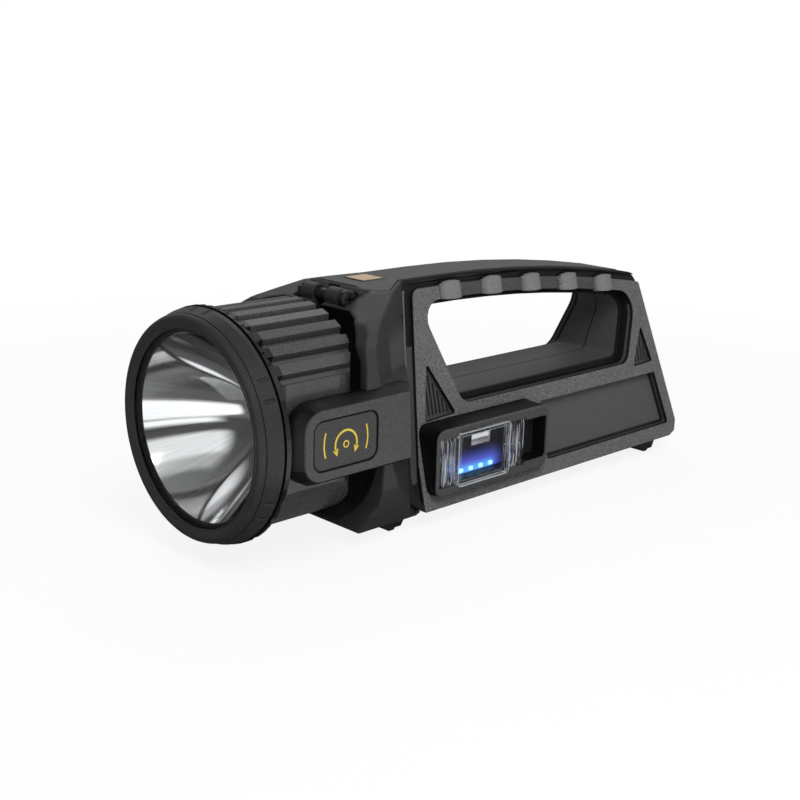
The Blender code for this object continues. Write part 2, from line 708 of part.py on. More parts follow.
def front_yoke(parent):
    """Moulded fork: two arms, the pocket behind the head, flared cheeks, a shelf and the strap knuckles."""
    wide = ARM_OUTER + OVERRUN
    shelf_tip = CHEEK_X + 6 * BLEND
    top = BODY_TOP - RIM_DROP
    back = front_at(top) + OVERRUN
    cheek = [(CHEEK_X + share * (SHOULDER_X - CHEEK_X), up * DECK) for share, up in CHEEK_FRONT_SHARES]
    scoop = [(shelf_tip + blends * BLEND, -up * ARM_HALF_HEIGHT) for blends, up in SCOOP_SHARES]
    side_view = [
        (SHOULDER_X, top), (front_at(top) - GAP, top), (NOSE_CORNER[0] - GAP, NOSE_CORNER[1]),
        (HEEL_CORNER[0] - GAP, HEEL_CORNER[1] - GAP), (HEEL_CORNER[0] - 2 * BLEND, YOKE_BOTTOM),
        (shelf_tip + 3 * BLEND, YOKE_BOTTOM), (shelf_tip, YOKE_BOTTOM + 2 * BLEND), *scoop,
        (CHEEK_X, ARM_HALF_HEIGHT), *cheek]
    block = prism([side_view], "Y", -wide, wide)

    half_front = [(COVER_HALF_WIDTH, BODY_TOP), (SHOULDER_HALF_WIDTH, BODY_TOP - SHOULDER_DROP)]
    half_front += [(across * ARM_OUTER, up * DECK) for across, up in CHEEK_TOP_SHARES]
    half_front += [(ARM_OUTER, -ARM_HALF_HEIGHT)]
    half_front += [(across * ARM_OUTER, up * YOKE_BOTTOM) for across, up in CHEEK_LOW_SHARES]
    front_view = half_front + [(-across, up) for across, up in half_front[::-1]]
    common(block, prism([front_view], "X", ARM_FRONT, back))

    for side in (-1, 1):
        cut(block, taper(side, ARM_SLOPE, YOKE_BOTTOM - OVERRUN, BODY_TOP + OVERRUN))
        cut(block, taper(side, CHEEK_TAPER_SHARE, ARM_HALF_HEIGHT, BODY_TOP + OVERRUN))
        cut(block, taper(side, CHEEK_TAPER_SHARE, YOKE_BOTTOM - OVERRUN, -ARM_HALF_HEIGHT))

    nose_view = [(NOSE_X, top), (LIP_X - BLEND, LIP_Z - BLEND), (LIP_X + 9 * BLEND, LIP_Z - 9 * BLEND),
                 (SHOULDER_X + 6 * BLEND, top)]
    nose = prism([nose_view], "Y", -SHOULDER_HALF_WIDTH, SHOULDER_HALF_WIDTH)
    nose_plan = [(LIP_X - OVERRUN, -NOSE_HALF_WIDTH), (NOSE_X, -NOSE_HALF_WIDTH),
                 (SHOULDER_X + 3 * BLEND, -SHOULDER_HALF_WIDTH + BLEND / 4),
                 (SHOULDER_X + 8 * BLEND, -SHOULDER_HALF_WIDTH + BLEND / 4)]
    nose_plan += [(along, -across) for along, across in nose_plan[::-1]]
    common(nose, prism([nose_plan], "Z", 0, BODY_TOP + OVERRUN))
    crown = [(SHOULDER_HALF_WIDTH, BODY_TOP - SHOULDER_DROP), (SHOULDER_HALF_WIDTH, 0)]
    crown = [(COVER_HALF_WIDTH, BODY_TOP)] + crown
    common(nose, prism([crown + [(-across, up) for across, up in crown[::-1]]], "X", ARM_FRONT, back))
    join(block, nose)
    cut(block, prism([cover_plan(GAP)], "Z", DECK, BODY_TOP + OVERRUN))

    cut(block, head_pocket())

    for side in (-1, 1):
        faces = sorted((side * ARM_INNER, side * ARM_OUTER))
        arm = prism([arm_outline(ARM_CORNER_RADIUS)], "Y", *faces)
        join(block, arm)
        cut(block, rod("Y", side * (ARM_INNER - OVERRUN), side * (ARM_OUTER + OVERRUN),
                       PIVOT_RADIUS + 2 * GAP + BUSH_WALL, (PIVOT_X, 0)))

    yoke_hollows(block)
    strap_knuckles(block)
    return keep(smoothed(block, math.radians(25)), "front_yoke", SMOOTH_BLACK, parent)


def yoke_hollows(block):
    """The button's well, and the two hollows that open at the back of the yoke."""
    half = WELL_SIZE / 2
    cut(block, box((BUTTON_X - half, BUTTON_X + half), (-half, half), (WELL_FLOOR, DECK + OVERRUN)))
    wall = 0.0030
    hollow_half = 0.0180
    hollow_front = PIVOT_X + POCKET_RADIUS - 2 * wall
    back = front_at(DECK) + OVERRUN
    upper = [(hollow_front, WELL_FLOOR - wall), (back, WELL_FLOOR - wall), (back, ARM_HALF_HEIGHT),
             (NOSE_CORNER[0], ARM_HALF_HEIGHT)]
    cut(block, prism([upper], "Y", -hollow_half, hollow_half))
    lower = [(NOSE_CORNER[0] - 2 * wall, NOSE_CORNER[1] + wall), (back, NOSE_CORNER[1] + wall),
             (back, -ARM_HALF_HEIGHT), (NOSE_CORNER[0], -ARM_HALF_HEIGHT)]
    cut(block, prism([lower], "Y", -hollow_half, hollow_half))


def strap_knuckles(block):
    """Two round knuckles on the nose with a slot between them for a strap."""
    centre = (STRAP_X, STRAP_Z)
    slot_radius = 0.0066
    relief = 0.0049
    relief_end = KNUCKLE_OUTER + 0.0052
    reach = KNUCKLE_OUTER + BLEND
    join(block, rod("Y", -reach, reach, KNUCKLE_RADIUS, centre, steps=28))
    cut(block, rod("Y", -KNUCKLE_INNER, KNUCKLE_INNER, slot_radius, centre, steps=40))
    for side in (-1, 1):
        cut(block, rod("Y", side * KNUCKLE_OUTER, side * relief_end, relief, centre, steps=28))
    reach = KNUCKLE_OUTER + OVERRUN
    cut(block, rod("Y", -reach, reach, STRAP_RADIUS + GAP, centre, steps=28))


def strap_pin(parent):
    """The screw that the strap goes round, and the nut on its far end."""
    head_length = 0.0036
    head_radius = 0.0041
    nut_length = 0.0022
    edge = 0.0007
    under = -KNUCKLE_OUTER - GAP
    top = under - head_length
    end = KNUCKLE_OUTER + GAP + nut_length
    screw = turned([(0, top), (head_radius - edge, top), (head_radius, top + edge), (head_radius, under),
                    (STRAP_RADIUS, under), (STRAP_RADIUS, end), (0, end)], "Y", (STRAP_X, 0, STRAP_Z), 32)
    recess_reach = 0.0022
    recess_half = 0.0005
    recess_depth = 0.0016
    for reach, half in ((recess_reach, recess_half), (recess_half, recess_reach)):
        cut(screw, box((STRAP_X - reach, STRAP_X + reach), (top - OVERRUN, top + recess_depth),
                       (STRAP_Z - half, STRAP_Z + half)))
    keep(smoothed(screw), "strap_screw", STEEL, parent)
    low = KNUCKLE_OUTER + GAP
    nut = rod("Y", low, low + nut_length, head_radius, (STRAP_X, STRAP_Z), steps=6)
    cut(nut, rod("Y", low - OVERRUN, end + OVERRUN, STRAP_RADIUS + GAP, (STRAP_X, STRAP_Z), steps=32))
    keep(nut, "strap_nut", STEEL, parent)


LABEL_STEP = 0.0022
LABEL_HALF_LENGTH = 0.0166
LABEL_HALF_HEIGHT = 0.0099
LABEL_RADIUS = 0.0040
LABEL_GROOVE = 0.0009
LABEL_X = PIVOT_X + LABEL_STEP
LABEL_SINK = 0.0011
LABEL_THICKNESS = 0.0008


def label_outline(grow):
    radius = LABEL_RADIUS + grow
    across = LABEL_HALF_LENGTH + grow
    up = LABEL_HALF_HEIGHT + grow
    return rounded([(LABEL_X - across, -up, radius), (LABEL_X + across, -up, radius),
                    (LABEL_X + across, up, radius), (LABEL_X - across, up, radius)])


def loft(first, last, low, high, side):
    """A slab across Y whose outline goes from one shape to another with as many points."""
    mesh = bpy.data.meshes.new("loft")
    work = bmesh.new()
    rings = []
    for outline, across in ((first, low), (last, high)):
        rings.append([work.verts.new((point[0], side * across, point[1])) for point in outline])
    count = len(first)
    for index in range(count):
        after = (index + 1) % count
        work.faces.new((rings[0][index], rings[0][after], rings[1][after], rings[1][index]))
    for ring in rings:
        work.faces.new(ring)
    work.to_mesh(mesh)
    work.free()
    tidy(mesh)
    return linked("loft", mesh)


def arm_cap(name, side, parent):
    """Cover over the pivot screw: a slab with sloping sides and a sunk place for the name plate."""
    front_slope = 0.0041
    side_slope = 0.0027
    face_corner = 0.0078
    base = ARM_OUTER + GAP
    back = CAP_BACK + 2 * CAP_RISE
    foot_shape = arm_outline(ARM_CORNER_RADIUS, back=back)
    face_shape = arm_outline(face_corner, ARM_FRONT + front_slope, ARM_HALF_HEIGHT - side_slope, back)
    cap = loft(foot_shape, face_shape, base, CAP_FACE, side)
    cut(cap, taper(side, ARM_SLOPE, -ARM_HALF_HEIGHT - OVERRUN, ARM_HALF_HEIGHT + OVERRUN))
    well_radius = 0.0078
    well_depth = SCREW_HEAD_THICKNESS + 3 * GAP + PIN_END - ARM_OUTER
    cut(cap, rod("Y", side * (base - OVERRUN), side * (base + well_depth), well_radius, (PIVOT_X, 0)))
    ends = sorted((side * (CAP_FACE - LABEL_SINK), side * (CAP_FACE + OVERRUN)))
    cut(cap, prism([label_outline(LABEL_GROOVE)], "Y", *ends))
    keep(smoothed(cap), "arm_cap_" + name, SMOOTH_BLACK, parent)
    low = CAP_FACE - LABEL_SINK + GAP / 2
    ends = sorted((side * low, side * (low + LABEL_THICKNESS - GAP)))
    plate = prism([label_outline(0)], "Y", *ends)
    keep(plate, "label_plate_" + name, TEXTURED_BLACK, parent)


# The body
def top_at(along):
    """Height of the lamp's top line: level in front, then a long arc down to the rear."""
    past = max(0, along - TOP_FLAT_END)
    return BODY_TOP - TOP_ARC_RADIUS + math.sqrt(TOP_ARC_RADIUS ** 2 - past ** 2)


def back_at(up):
    """Where the body's leaning back edge is at a height."""
    return BACK_CORNER_X - BACK_LEAN * up


def top_line(drop, first, last, count=7):
    """Points along the top line, lowered by a drop."""
    points = []
    for part in range(count + 1):
        along = first + (last - first) * part / count
        points.append((along, top_at(along) - drop))
    return points


TAIL_HEIGHT = 0.0075


def body_outline(drop, inset=0):
    """Side view of the body: top line, rounded rear corner, level bottom and a leaning front."""
    tail = 0.0210
    tail_up = BODY_BOTTOM + TAIL_HEIGHT
    corner = 0.0100
    up = top_at(BACK_CORNER_X - tail / 2) - drop - inset
    shoulder = (back_at(up) - inset, up, corner)
    low = BODY_BOTTOM + inset
    heel = (BODY_BACK - inset, tail_up)
    foot = (BODY_BACK - 2 * BLEND - inset, low + 2 * BLEND)
    front_low = [(foot[0] - 5 * BLEND, low), (HEEL_CORNER[0] + inset, low),
                 (NOSE_CORNER[0] + inset, NOSE_CORNER[1] + inset / 2)]
    start = front_at(BODY_TOP - drop) + inset
    line = top_line(drop + inset, start, shoulder[0] - corner * 1.6)
    after = rounded([(*line[-1], 0), shoulder, (*heel, 0)])[1:-1]
    return [Vector(point) for point in line] + after + [Vector(point) for point in [heel, foot] + front_low]


OPENING_LOW_RADIUS = 0.0050
OPENING_HIGH_RADIUS = 0.0085
OPENING_FRONT_RADIUS = 0.0060
OPENING_REACH = 0.0100


def opening_outline(grow):
    """Outline of the hand opening, widened by an amount all round."""
    low_radius = OPENING_LOW_RADIUS + grow
    high_radius = OPENING_HIGH_RADIUS + grow
    front_radius = OPENING_FRONT_RADIUS + grow
    floor = OPENING_FLOOR - grow
    front_low = OPENING_FRONT - OPENING_LEAN * floor - grow
    back_low = OPENING_BACK + OPENING_LEAN * floor + grow
    under = GRIP_DEPTH - grow
    front_up = top_at(OPENING_FRONT) - under
    front_high = OPENING_FRONT - OPENING_LEAN * front_up - grow
    back_up = top_at(OPENING_BACK + OPENING_REACH) - under
    back_high = OPENING_BACK + OPENING_LEAN * back_up + grow
    middle = top_line(under, OPENING_FRONT + high_radius, OPENING_BACK - high_radius, 5)
    corners = [(front_low, floor, low_radius), (back_low, floor, low_radius),
               (back_high, back_up, high_radius)]
    corners += [(along, up, 0) for along, up in middle[::-1]]
    corners.append((front_high, front_up, front_radius))
    return rounded(corners)


OPENING_MIDDLE = ((OPENING_FRONT + OPENING_BACK) / 2, (OPENING_FLOOR + BODY_TOP - GRIP_DEPTH) / 2)
CAVITY_STEP = 0.0057
CAVITY_SIDE = BODY_SIDE - CAVITY_STEP
RECESS_STEP = 0.0035
BEAD = 0.0009
BUMP_COUNT = 5
BUMP_FIRST_STEP = 0.0002
BUMP_LAST_STEP = 0.0125
BUMP_FIRST = OPENING_FRONT + BUMP_FIRST_STEP
BUMP_PITCH = (OPENING_BACK - BUMP_LAST_STEP - BUMP_FIRST) / (BUMP_COUNT - 1)
BUMP_HEIGHT = 0.0059
BUMP_RADIUS = 0.0085
BUMP_RISE = 0.0040
RIM_HEIGHT = 0.0015
BAND_HEIGHT = 0.0034
BAND_DEPTH = 0.0018
COVER_BACK_STEP = 0.0215
COVER_BACK = BACK_CORNER_X - COVER_BACK_STEP
SCREW_RADIUS = 0.0013
SCREW_BOSS_RADIUS = 0.0034
SCREW_HEAD_RADIUS = 0.0024
SCREW_SEAT = 0.0080


def screw_places():
    """Housing screws: front column, two in the grip, two in the lower body."""
    grip = COVER_THICKNESS + GAP + (GRIP_DEPTH - COVER_THICKNESS) / 2
    low = BODY_BOTTOM / 2
    first = BUMP_FIRST + BUMP_PITCH / 2
    second = BUMP_FIRST + BUMP_PITCH * 3.5
    places = [(front_at(BODY_TOP / 2) + 2 * SCREW_BOSS_RADIUS, BODY_TOP / 2)]
    places += [(first, top_at(first) - grip), (second, top_at(second) - grip)]
    places += [(PORT_BACK + SCREW_BOSS_RADIUS + BLEND, low), (BODY_BACK - 5 * SCREW_BOSS_RADIUS, low)]
    return places


def louvre(housing, corners, slots, side):
    """A shallow triangular recess with upright slots in its floor."""
    depth = 0.0026
    slot_depth = 0.0016
    slot_share = 0.42
    radius = 0.0010
    triangle = rounded([(*corner, radius) for corner in corners], math.radians(40))
    floor = BODY_SIDE - depth
    cut(housing, side_plate([triangle], floor, BODY_SIDE + OVERRUN, side))
    left = min(corner[0] for corner in corners)
    right = max(corner[0] for corner in corners)
    low = min(corner[1] for corner in corners)
    apex = max(corners, key=lambda corner: corner[1])
    pitch = (right - left - 4 * radius) / slots
    for index in range(slots):
        middle = left + 2 * radius + pitch * (index + 0.5)
        far = right if middle > apex[0] else left
        share = abs(far - middle) / max(abs(far - apex[0]), radius)
        height = (apex[1] - low - 3 * radius) * min(1, share) - 2 * radius
        if height < 2 * radius:
            continue
        half = pitch * slot_share / 2
        bar = [(middle - half, low + 1.5 * radius), (middle + half, low + 1.5 * radius),
               (middle + half, low + 1.5 * radius + height), (middle - half, low + 1.5 * radius + height)]
        cut(housing, side_plate([bar], floor - slot_depth, floor + BLEND / 2, side))


def band_outline():
    """The sunk band that follows the top line and turns down along the front edge."""
    rim = 0.0009
    outer_radius = 0.0070
    inner_radius = 0.0042
    width = 0.0055
    low_height = 0.0145
    front_low = BODY_BOTTOM + low_height
    tip = (HEEL_CORNER[0] - BLEND, HEEL_CORNER[1] + 3 * BLEND)
    band_back = BODY_BACK + OVERRUN
    high = top_line(RIM_HEIGHT, front_at(BODY_TOP) + 2 * outer_radius, band_back)
    low = top_line(RIM_HEIGHT + BAND_HEIGHT, front_at(BODY_TOP) + 2 * outer_radius, band_back - BAND_HEIGHT)
    up = BODY_TOP - RIM_HEIGHT
    under = up - BAND_HEIGHT
    corners = [(*high[0], 0), (front_at(up) + rim, up, outer_radius),
               (front_at(front_low) + rim, front_low, 2 * outer_radius), (*tip, 0),
               (front_at(front_low) + rim + width, front_low, outer_radius),
               (front_at(under) + rim + width, under, inner_radius), (*low[0], 0)]
    return rounded(corners) + [Vector(point) for point in low[1:]] + [Vector(point) for point in high[:0:-1]]


def finger_bump(index, side):
    """A half-round finger bump that stands on the grip's side and has an arched top."""
    middle = BUMP_FIRST + BUMP_PITCH * index
    top = top_at(middle) - RIM_HEIGHT - BAND_HEIGHT
    low = top - BUMP_HEIGHT
    arch = 0.0020
    arch_share = 0.8
    half = BUMP_RADIUS
    outline = [(middle - half, low), (middle + half, low), (middle + half, top),
               (middle + half / 2, top + arch * arch_share), (middle, top + arch),
               (middle - half / 2, top + arch * arch_share), (middle - half, top)]
    block = side_plate([outline], BODY_SIDE - BUMP_RISE / 2, BODY_SIDE + 2 * BUMP_RISE, side)
    round_bar = rod("Z", low - OVERRUN, top + OVERRUN, BUMP_RADIUS,
                    (middle, BODY_SIDE + BUMP_RISE - BUMP_RADIUS), steps=20)
    for vertex in round_bar.data.vertices:
        vertex.co.y = side * (vertex.co.y - SIDE_LEAN * vertex.co.z)
    tidy(round_bar.data)
    return common(block, round_bar)


def side_housing(name, side, parent):
    """Half of the body: a thin shell with the hand opening, finger bumps, louvres and a recessed panel."""
    wide = BODY_SIDE * 3
    shell = side_plate([body_outline(RIM_DROP)], -BODY_SIDE, BODY_SIDE, side)
    middle_cut = sorted((side * GAP / 2, -side * wide))
    cut(shell, box((0, BODY_BACK + OVERRUN), middle_cut, (BODY_BOTTOM - OVERRUN, BODY_TOP + OVERRUN)))
    inner = -BODY_SIDE - OVERRUN
    cavity = side_plate([body_outline(BODY_TOP - DECK, BODY_WALL)], inner, CAVITY_SIDE, side)
    margin = RECESS_STEP + BODY_WALL
    recess_floor = OPENING_SIDE - BEAD
    cut(cavity, side_plate([opening_outline(margin)], recess_floor - BODY_WALL, BODY_SIDE, side))
    cut(cavity, side_plate([opening_outline(BODY_WALL)], inner - OVERRUN, BODY_SIDE - BLEND, side))
    cut(shell, cavity)
    for along, up in screw_places():
        reach = CAVITY_SIDE + BODY_WALL / 2 - SIDE_LEAN * up
        post = rod("Y", side * GAP / 2, side * reach, SCREW_BOSS_RADIUS, (along, up), steps=20)
        join(shell, post)

    flare = 0.030
    recess = [opening_outline(RECESS_STEP - BLEND), opening_outline(BEAD)]
    cut(shell, side_plate([recess[0]], OPENING_SIDE, 2 * BODY_SIDE - OPENING_SIDE, side, flare,
                          OPENING_MIDDLE))
    cut(shell, side_plate(recess, recess_floor, OPENING_SIDE + BLEND / 2, side))
    tunnel = prism([opening_outline(0)], "Y", *sorted((0, side * wide)))
    crown = 0.020
    for vertex in tunnel.data.vertices:
        scale = 1 - crown if abs(vertex.co.y) < GAP else 1 + crown * (wide / OPENING_SIDE - 1)
        vertex.co.x = OPENING_MIDDLE[0] + (vertex.co.x - OPENING_MIDDLE[0]) * scale
        vertex.co.z = OPENING_MIDDLE[1] + (vertex.co.z - OPENING_MIDDLE[1]) * scale
    cut(shell, tunnel)

    channel = top_line(COVER_THICKNESS + GAP, FRONT_EDGE, COVER_BACK + GAP)
    channel += top_line(-OVERRUN, FRONT_EDGE, COVER_BACK + GAP)[::-1]
    half = COVER_HALF_WIDTH + GAP
    cut(shell, prism([channel], "Y", -half, half))
    cut(shell, side_plate([band_outline()], BODY_SIDE - BAND_DEPTH, BODY_SIDE + OVERRUN, side))
    for index in range(BUMP_COUNT):
        join(shell, finger_bump(index, side))

    cut(shell, side_plate([panel_outline(side)], PANEL_FLOOR, BODY_SIDE + PANEL_DEPTH, side, 0.02,
                          PANEL_MIDDLE))
    louvre(shell, FRONT_LOUVRE, 7, side)
    louvre(shell, BACK_LOUVRE, 5, side)

    if side < 0:
        hole = port_outline(GAP)
        cut(shell, prism([hole], "Y", -wide, -SCREW_SEAT))
    for along, up in screw_places():
        bore = SCREW_RADIUS + GAP
        if side > 0:
            cut(shell, rod("Y", -OVERRUN, wide, bore, (along, up), steps=16))
            cut(shell, rod("Y", SCREW_SEAT, wide, SCREW_HEAD_RADIUS + GAP, (along, up), steps=20))
        else:
            cut(shell, rod("Y", -SCREW_SEAT - GAP, OVERRUN, bore, (along, up), steps=16))
    return keep(smoothed(shell, math.radians(25)), name + "_housing", TEXTURED_BLACK, parent)


PANEL_DEPTH = 0.0038
PANEL_FLOOR = BODY_SIDE - PANEL_DEPTH
PANEL_TOP_HEIGHT = 0.0350
PANEL_LOW_HEIGHT = 0.0070
PANEL_STEP = 0.0075
PANEL_MARGIN = 0.0080
PANEL_TOP = BODY_BOTTOM + PANEL_TOP_HEIGHT
PANEL_BOTTOM = BODY_BOTTOM + PANEL_LOW_HEIGHT
PORT_STEP = 0.0050
PORT_LENGTH = 0.0770
PORT_FRONT = FRONT_EDGE + PORT_STEP
PORT_BACK = PORT_FRONT + PORT_LENGTH
PANEL_FRONT = PORT_BACK + PANEL_STEP
PANEL_MIDDLE = ((PANEL_FRONT + BODY_BACK) / 2, (PANEL_TOP + PANEL_BOTTOM) / 2)
# Places on the side, as steps behind the front edge or before the rear corner, and heights
FRONT_LOUVRE_STEPS = ((0.0155, 0.0645), (0.0098, 0.0385), (0.0302, 0.0395))
BACK_LOUVRE_STEPS = ((0.0113, 0.0608), (0.0220, 0.0402), (0.0047, 0.0410))
FRONT_LOUVRE = [(FRONT_EDGE + along, BODY_BOTTOM + up) for along, up in FRONT_LOUVRE_STEPS]
BACK_LOUVRE = [(BACK_CORNER_X - along, BODY_BOTTOM + up) for along, up in BACK_LOUVRE_STEPS]


def panel_outline(side):
    """The flat recessed panel low on the side; on the far side it starts further forward."""
    front = PANEL_FRONT if side < 0 else PORT_FRONT + 2 * PANEL_MARGIN / 3
    high = (back_at(PANEL_TOP) - PANEL_MARGIN, PANEL_TOP)
    low = (back_at(PANEL_BOTTOM) - PANEL_MARGIN, PANEL_BOTTOM)
    radius = 0.0012
    corners = [(front, PANEL_BOTTOM, radius), (*low, radius), (*high, radius), (front, PANEL_TOP, radius)]
    return rounded(corners, math.radians(45))


def top_cover(parent):
    """Smooth strip over the yoke's deck and along the grip, down to the rear corner."""
    last = COVER_BACK
    upper = top_line(0, NOSE_X, last)
    lower = top_line(COVER_THICKNESS, NOSE_X, last)
    cover = prism([upper + lower[::-1]], "Y", -SHOULDER_HALF_WIDTH - OVERRUN, SHOULDER_HALF_WIDTH + OVERRUN)
    common(cover, prism([cover_plan(0)], "Z", 0, BODY_TOP + OVERRUN))
    crown = [(COVER_HALF_WIDTH, BODY_TOP + BLEND), (COVER_HALF_WIDTH, BODY_TOP),
             (SHOULDER_HALF_WIDTH, BODY_TOP - SHOULDER_DROP), (SHOULDER_HALF_WIDTH, 0)]
    crown += [(-across, up) for across, up in crown[::-1]]
    common(cover, prism([crown], "X", NOSE_X - OVERRUN, last + OVERRUN))
    half = BUTTON_SIZE / 2 + GAP
    cut(cover, box((BUTTON_X - half, BUTTON_X + half), (-half, half), (DECK - OVERRUN, BODY_TOP + OVERRUN)))
    return keep(smoothed(cover, math.radians(20)), "top_cover", SMOOTH_BLACK, parent)


BUTTON_TRAVEL = 0.0006
BUTTON_STAND = 0.0004
BUTTON_FLANGE = 0.0016
SWITCH_BOARD = 0.0016
FLANGE_TOP = BODY_TOP - COVER_THICKNESS - GAP - GAP / 2


def power_button(button_axis, parent):
    """Square button cap with a flange under the cover, above a small switch on its board."""
    half = BUTTON_SIZE / 2
    lip = 0.0009
    cap = box((BUTTON_X - half, BUTTON_X + half), (-half, half),
              (FLANGE_TOP - BUTTON_FLANGE / 2, BODY_TOP + BUTTON_STAND))
    eased(cap, 0.0006)
    join(cap, box((BUTTON_X - half - lip, BUTTON_X + half + lip), (-half - lip, half + lip),
                  (FLANGE_TOP - BUTTON_FLANGE, FLANGE_TOP)))
    keep(cap, "power_button", AMBER, button_axis)

    body_share = 0.7
    board_top = WELL_FLOOR + GAP + SWITCH_BOARD
    half = WELL_SIZE / 2 - GAP
    board = box((BUTTON_X - half, BUTTON_X + half), (-half, half), (WELL_FLOOR + GAP, board_top))
    keep(board, "switch_board", BOARD_GREEN, parent)
    body_half = 0.0030
    plunger = 0.0017
    plunger_top = FLANGE_TOP - BUTTON_FLANGE - BUTTON_TRAVEL - GAP / 2
    body_top = board_top + (plunger_top - board_top) * body_share
    switch = box((BUTTON_X - body_half, BUTTON_X + body_half), (-body_half, body_half),
                 (board_top + GAP / 2, body_top))
    join(switch, rod("Z", body_top - BLEND / 2, plunger_top, plunger, (BUTTON_X, 0), steps=24))
    keep(switch, "button_switch", STEEL, parent)


# The port, on the near side
PORT_TOP_HEIGHT = 0.0380
PORT_LOW_HEIGHT = 0.0065
PORT_STAND = 0.0155
PORT_INNER_STEP = 0.0059
PORT_SIDE_RIM = 0.0018
PORT_TOP_RIM = 0.0042
PORT_CORNER = 0.0045
LEDGE = 0.0008
FLAP_THICKNESS = 0.0018
FLAP_SINK = 0.0010
FLAP_REACH = 0.0596
BARREL_RADIUS = 0.0010
NUB_RADIUS = 0.0007
NUB_LENGTH = 0.0008
WINDOW_STEP = 0.0125
WINDOW_LENGTH = 0.0355
WINDOW_LAP = 0.0016
WINDOW_RADIUS = 0.0026
PORT_TOP = BODY_BOTTOM + PORT_TOP_HEIGHT
PORT_BOTTOM = BODY_BOTTOM + PORT_LOW_HEIGHT
PORT_FACE = BODY_SIDE + PORT_STAND
PORT_INNER = BODY_SIDE - PORT_INNER_STEP
FLAP_BACK = PORT_FRONT + FLAP_REACH
WINDOW_FRONT = PORT_FRONT + WINDOW_STEP
WINDOW_BACK = WINDOW_FRONT + WINDOW_LENGTH
FLAP_OUTER = PORT_FACE - FLAP_SINK
FLAP_INNER = FLAP_OUTER - FLAP_THICKNESS
HINGE_X = PORT_FRONT + PORT_SIDE_RIM + GAP + BARREL_RADIUS
HINGE_Y = FLAP_OUTER - FLAP_THICKNESS / 2
FLAP_LOW = PORT_BOTTOM + PORT_TOP_RIM + GAP
FLAP_HIGH = PORT_TOP - PORT_TOP_RIM - GAP
PORT_PANEL_SINK = 0.0079
PORT_PANEL_THICKNESS = 0.0012
PORT_BOARD_SINK = 0.0174
PORT_BOARD_THICKNESS = 0.0016
PORT_PANEL_FACE = PORT_FACE - PORT_PANEL_SINK
PORT_BOARD_FRONT = PORT_FACE - PORT_BOARD_SINK
USB_STEP = 0.0228
USB_HEIGHT = 0.0207
USB_SIZE = (0.0131, 0.0057)
CHARGE_STEP = 0.0080
CHARGE_HEIGHT = 0.0125
CHARGE_SIZE = (0.0090, 0.0033)
LIGHT_STEP = 0.0103
LIGHT_PITCH = 0.0067
LIGHT_HEIGHT = 0.0071
LIGHT_SIZE = (0.0028, 0.0016)
USB_PLACE = (WINDOW_FRONT + USB_STEP, PORT_BOTTOM + USB_HEIGHT)
CHARGE_PLACE = (WINDOW_BACK + CHARGE_STEP, PORT_BOTTOM + CHARGE_HEIGHT)
LIGHT_FIRST = WINDOW_FRONT + LIGHT_STEP
LIGHT_UP = PORT_BOTTOM + LIGHT_HEIGHT


def port_outline(grow):
    """The raised frame's outline."""
    radius = PORT_CORNER + grow
    front, back = PORT_FRONT - grow, PORT_BACK + grow
    low, high = PORT_BOTTOM - grow, PORT_TOP + grow
    return rounded([(front, low, radius), (back, low, radius), (back, high, radius), (front, high, radius)],
                   math.radians(30))


def port_opening(grow):
    """The opening through the frame, behind the flap."""
    radius = 0.0015 + grow
    front = HINGE_X + 2 * BARREL_RADIUS - grow
    back = PORT_BACK - PORT_SIDE_RIM + grow
    low, high = FLAP_LOW + LEDGE - grow, FLAP_HIGH - LEDGE + grow
    return rounded([(front, low, radius), (back, low, radius), (back, high, radius), (front, high, radius)],
                   math.radians(45))


def window_outline(grow):
    """The flap's window, which reaches past the wings above and below."""
    radius = WINDOW_RADIUS + grow
    left, right = WINDOW_FRONT - grow, WINDOW_BACK + grow
    low, high = FLAP_LOW - WINDOW_LAP - grow, FLAP_HIGH + WINDOW_LAP + grow
    return rounded([(left, low, radius), (right, low, radius), (right, high, radius), (left, high, radius)],
                   math.radians(30))


def port_frame(parent):
    """Raised frame round the sockets, with a pocket for the flap and seats for its two nubs."""
    frame = prism([port_outline(0)], "Y", -PORT_FACE, -PORT_INNER)
    eased(frame, 0.0008)
    out = -PORT_FACE - OVERRUN
    cut(frame, prism([port_opening(0)], "Y", out, -PORT_INNER + OVERRUN))
    cut(frame, box((HINGE_X - BARREL_RADIUS - GAP, FLAP_BACK + GAP), (out, -FLAP_INNER + GAP),
                   (FLAP_LOW - GAP, FLAP_HIGH + GAP)))
    cut(frame, prism([window_outline(GAP)], "Y", out, -FLAP_INNER))
    nub = NUB_LENGTH + GAP
    cut(frame, rod("Z", FLAP_LOW - nub, FLAP_HIGH + nub, NUB_RADIUS + GAP / 2, (HINGE_X, -HINGE_Y), steps=16))
    return keep(frame, "port_frame", TEXTURED_BLACK, parent)


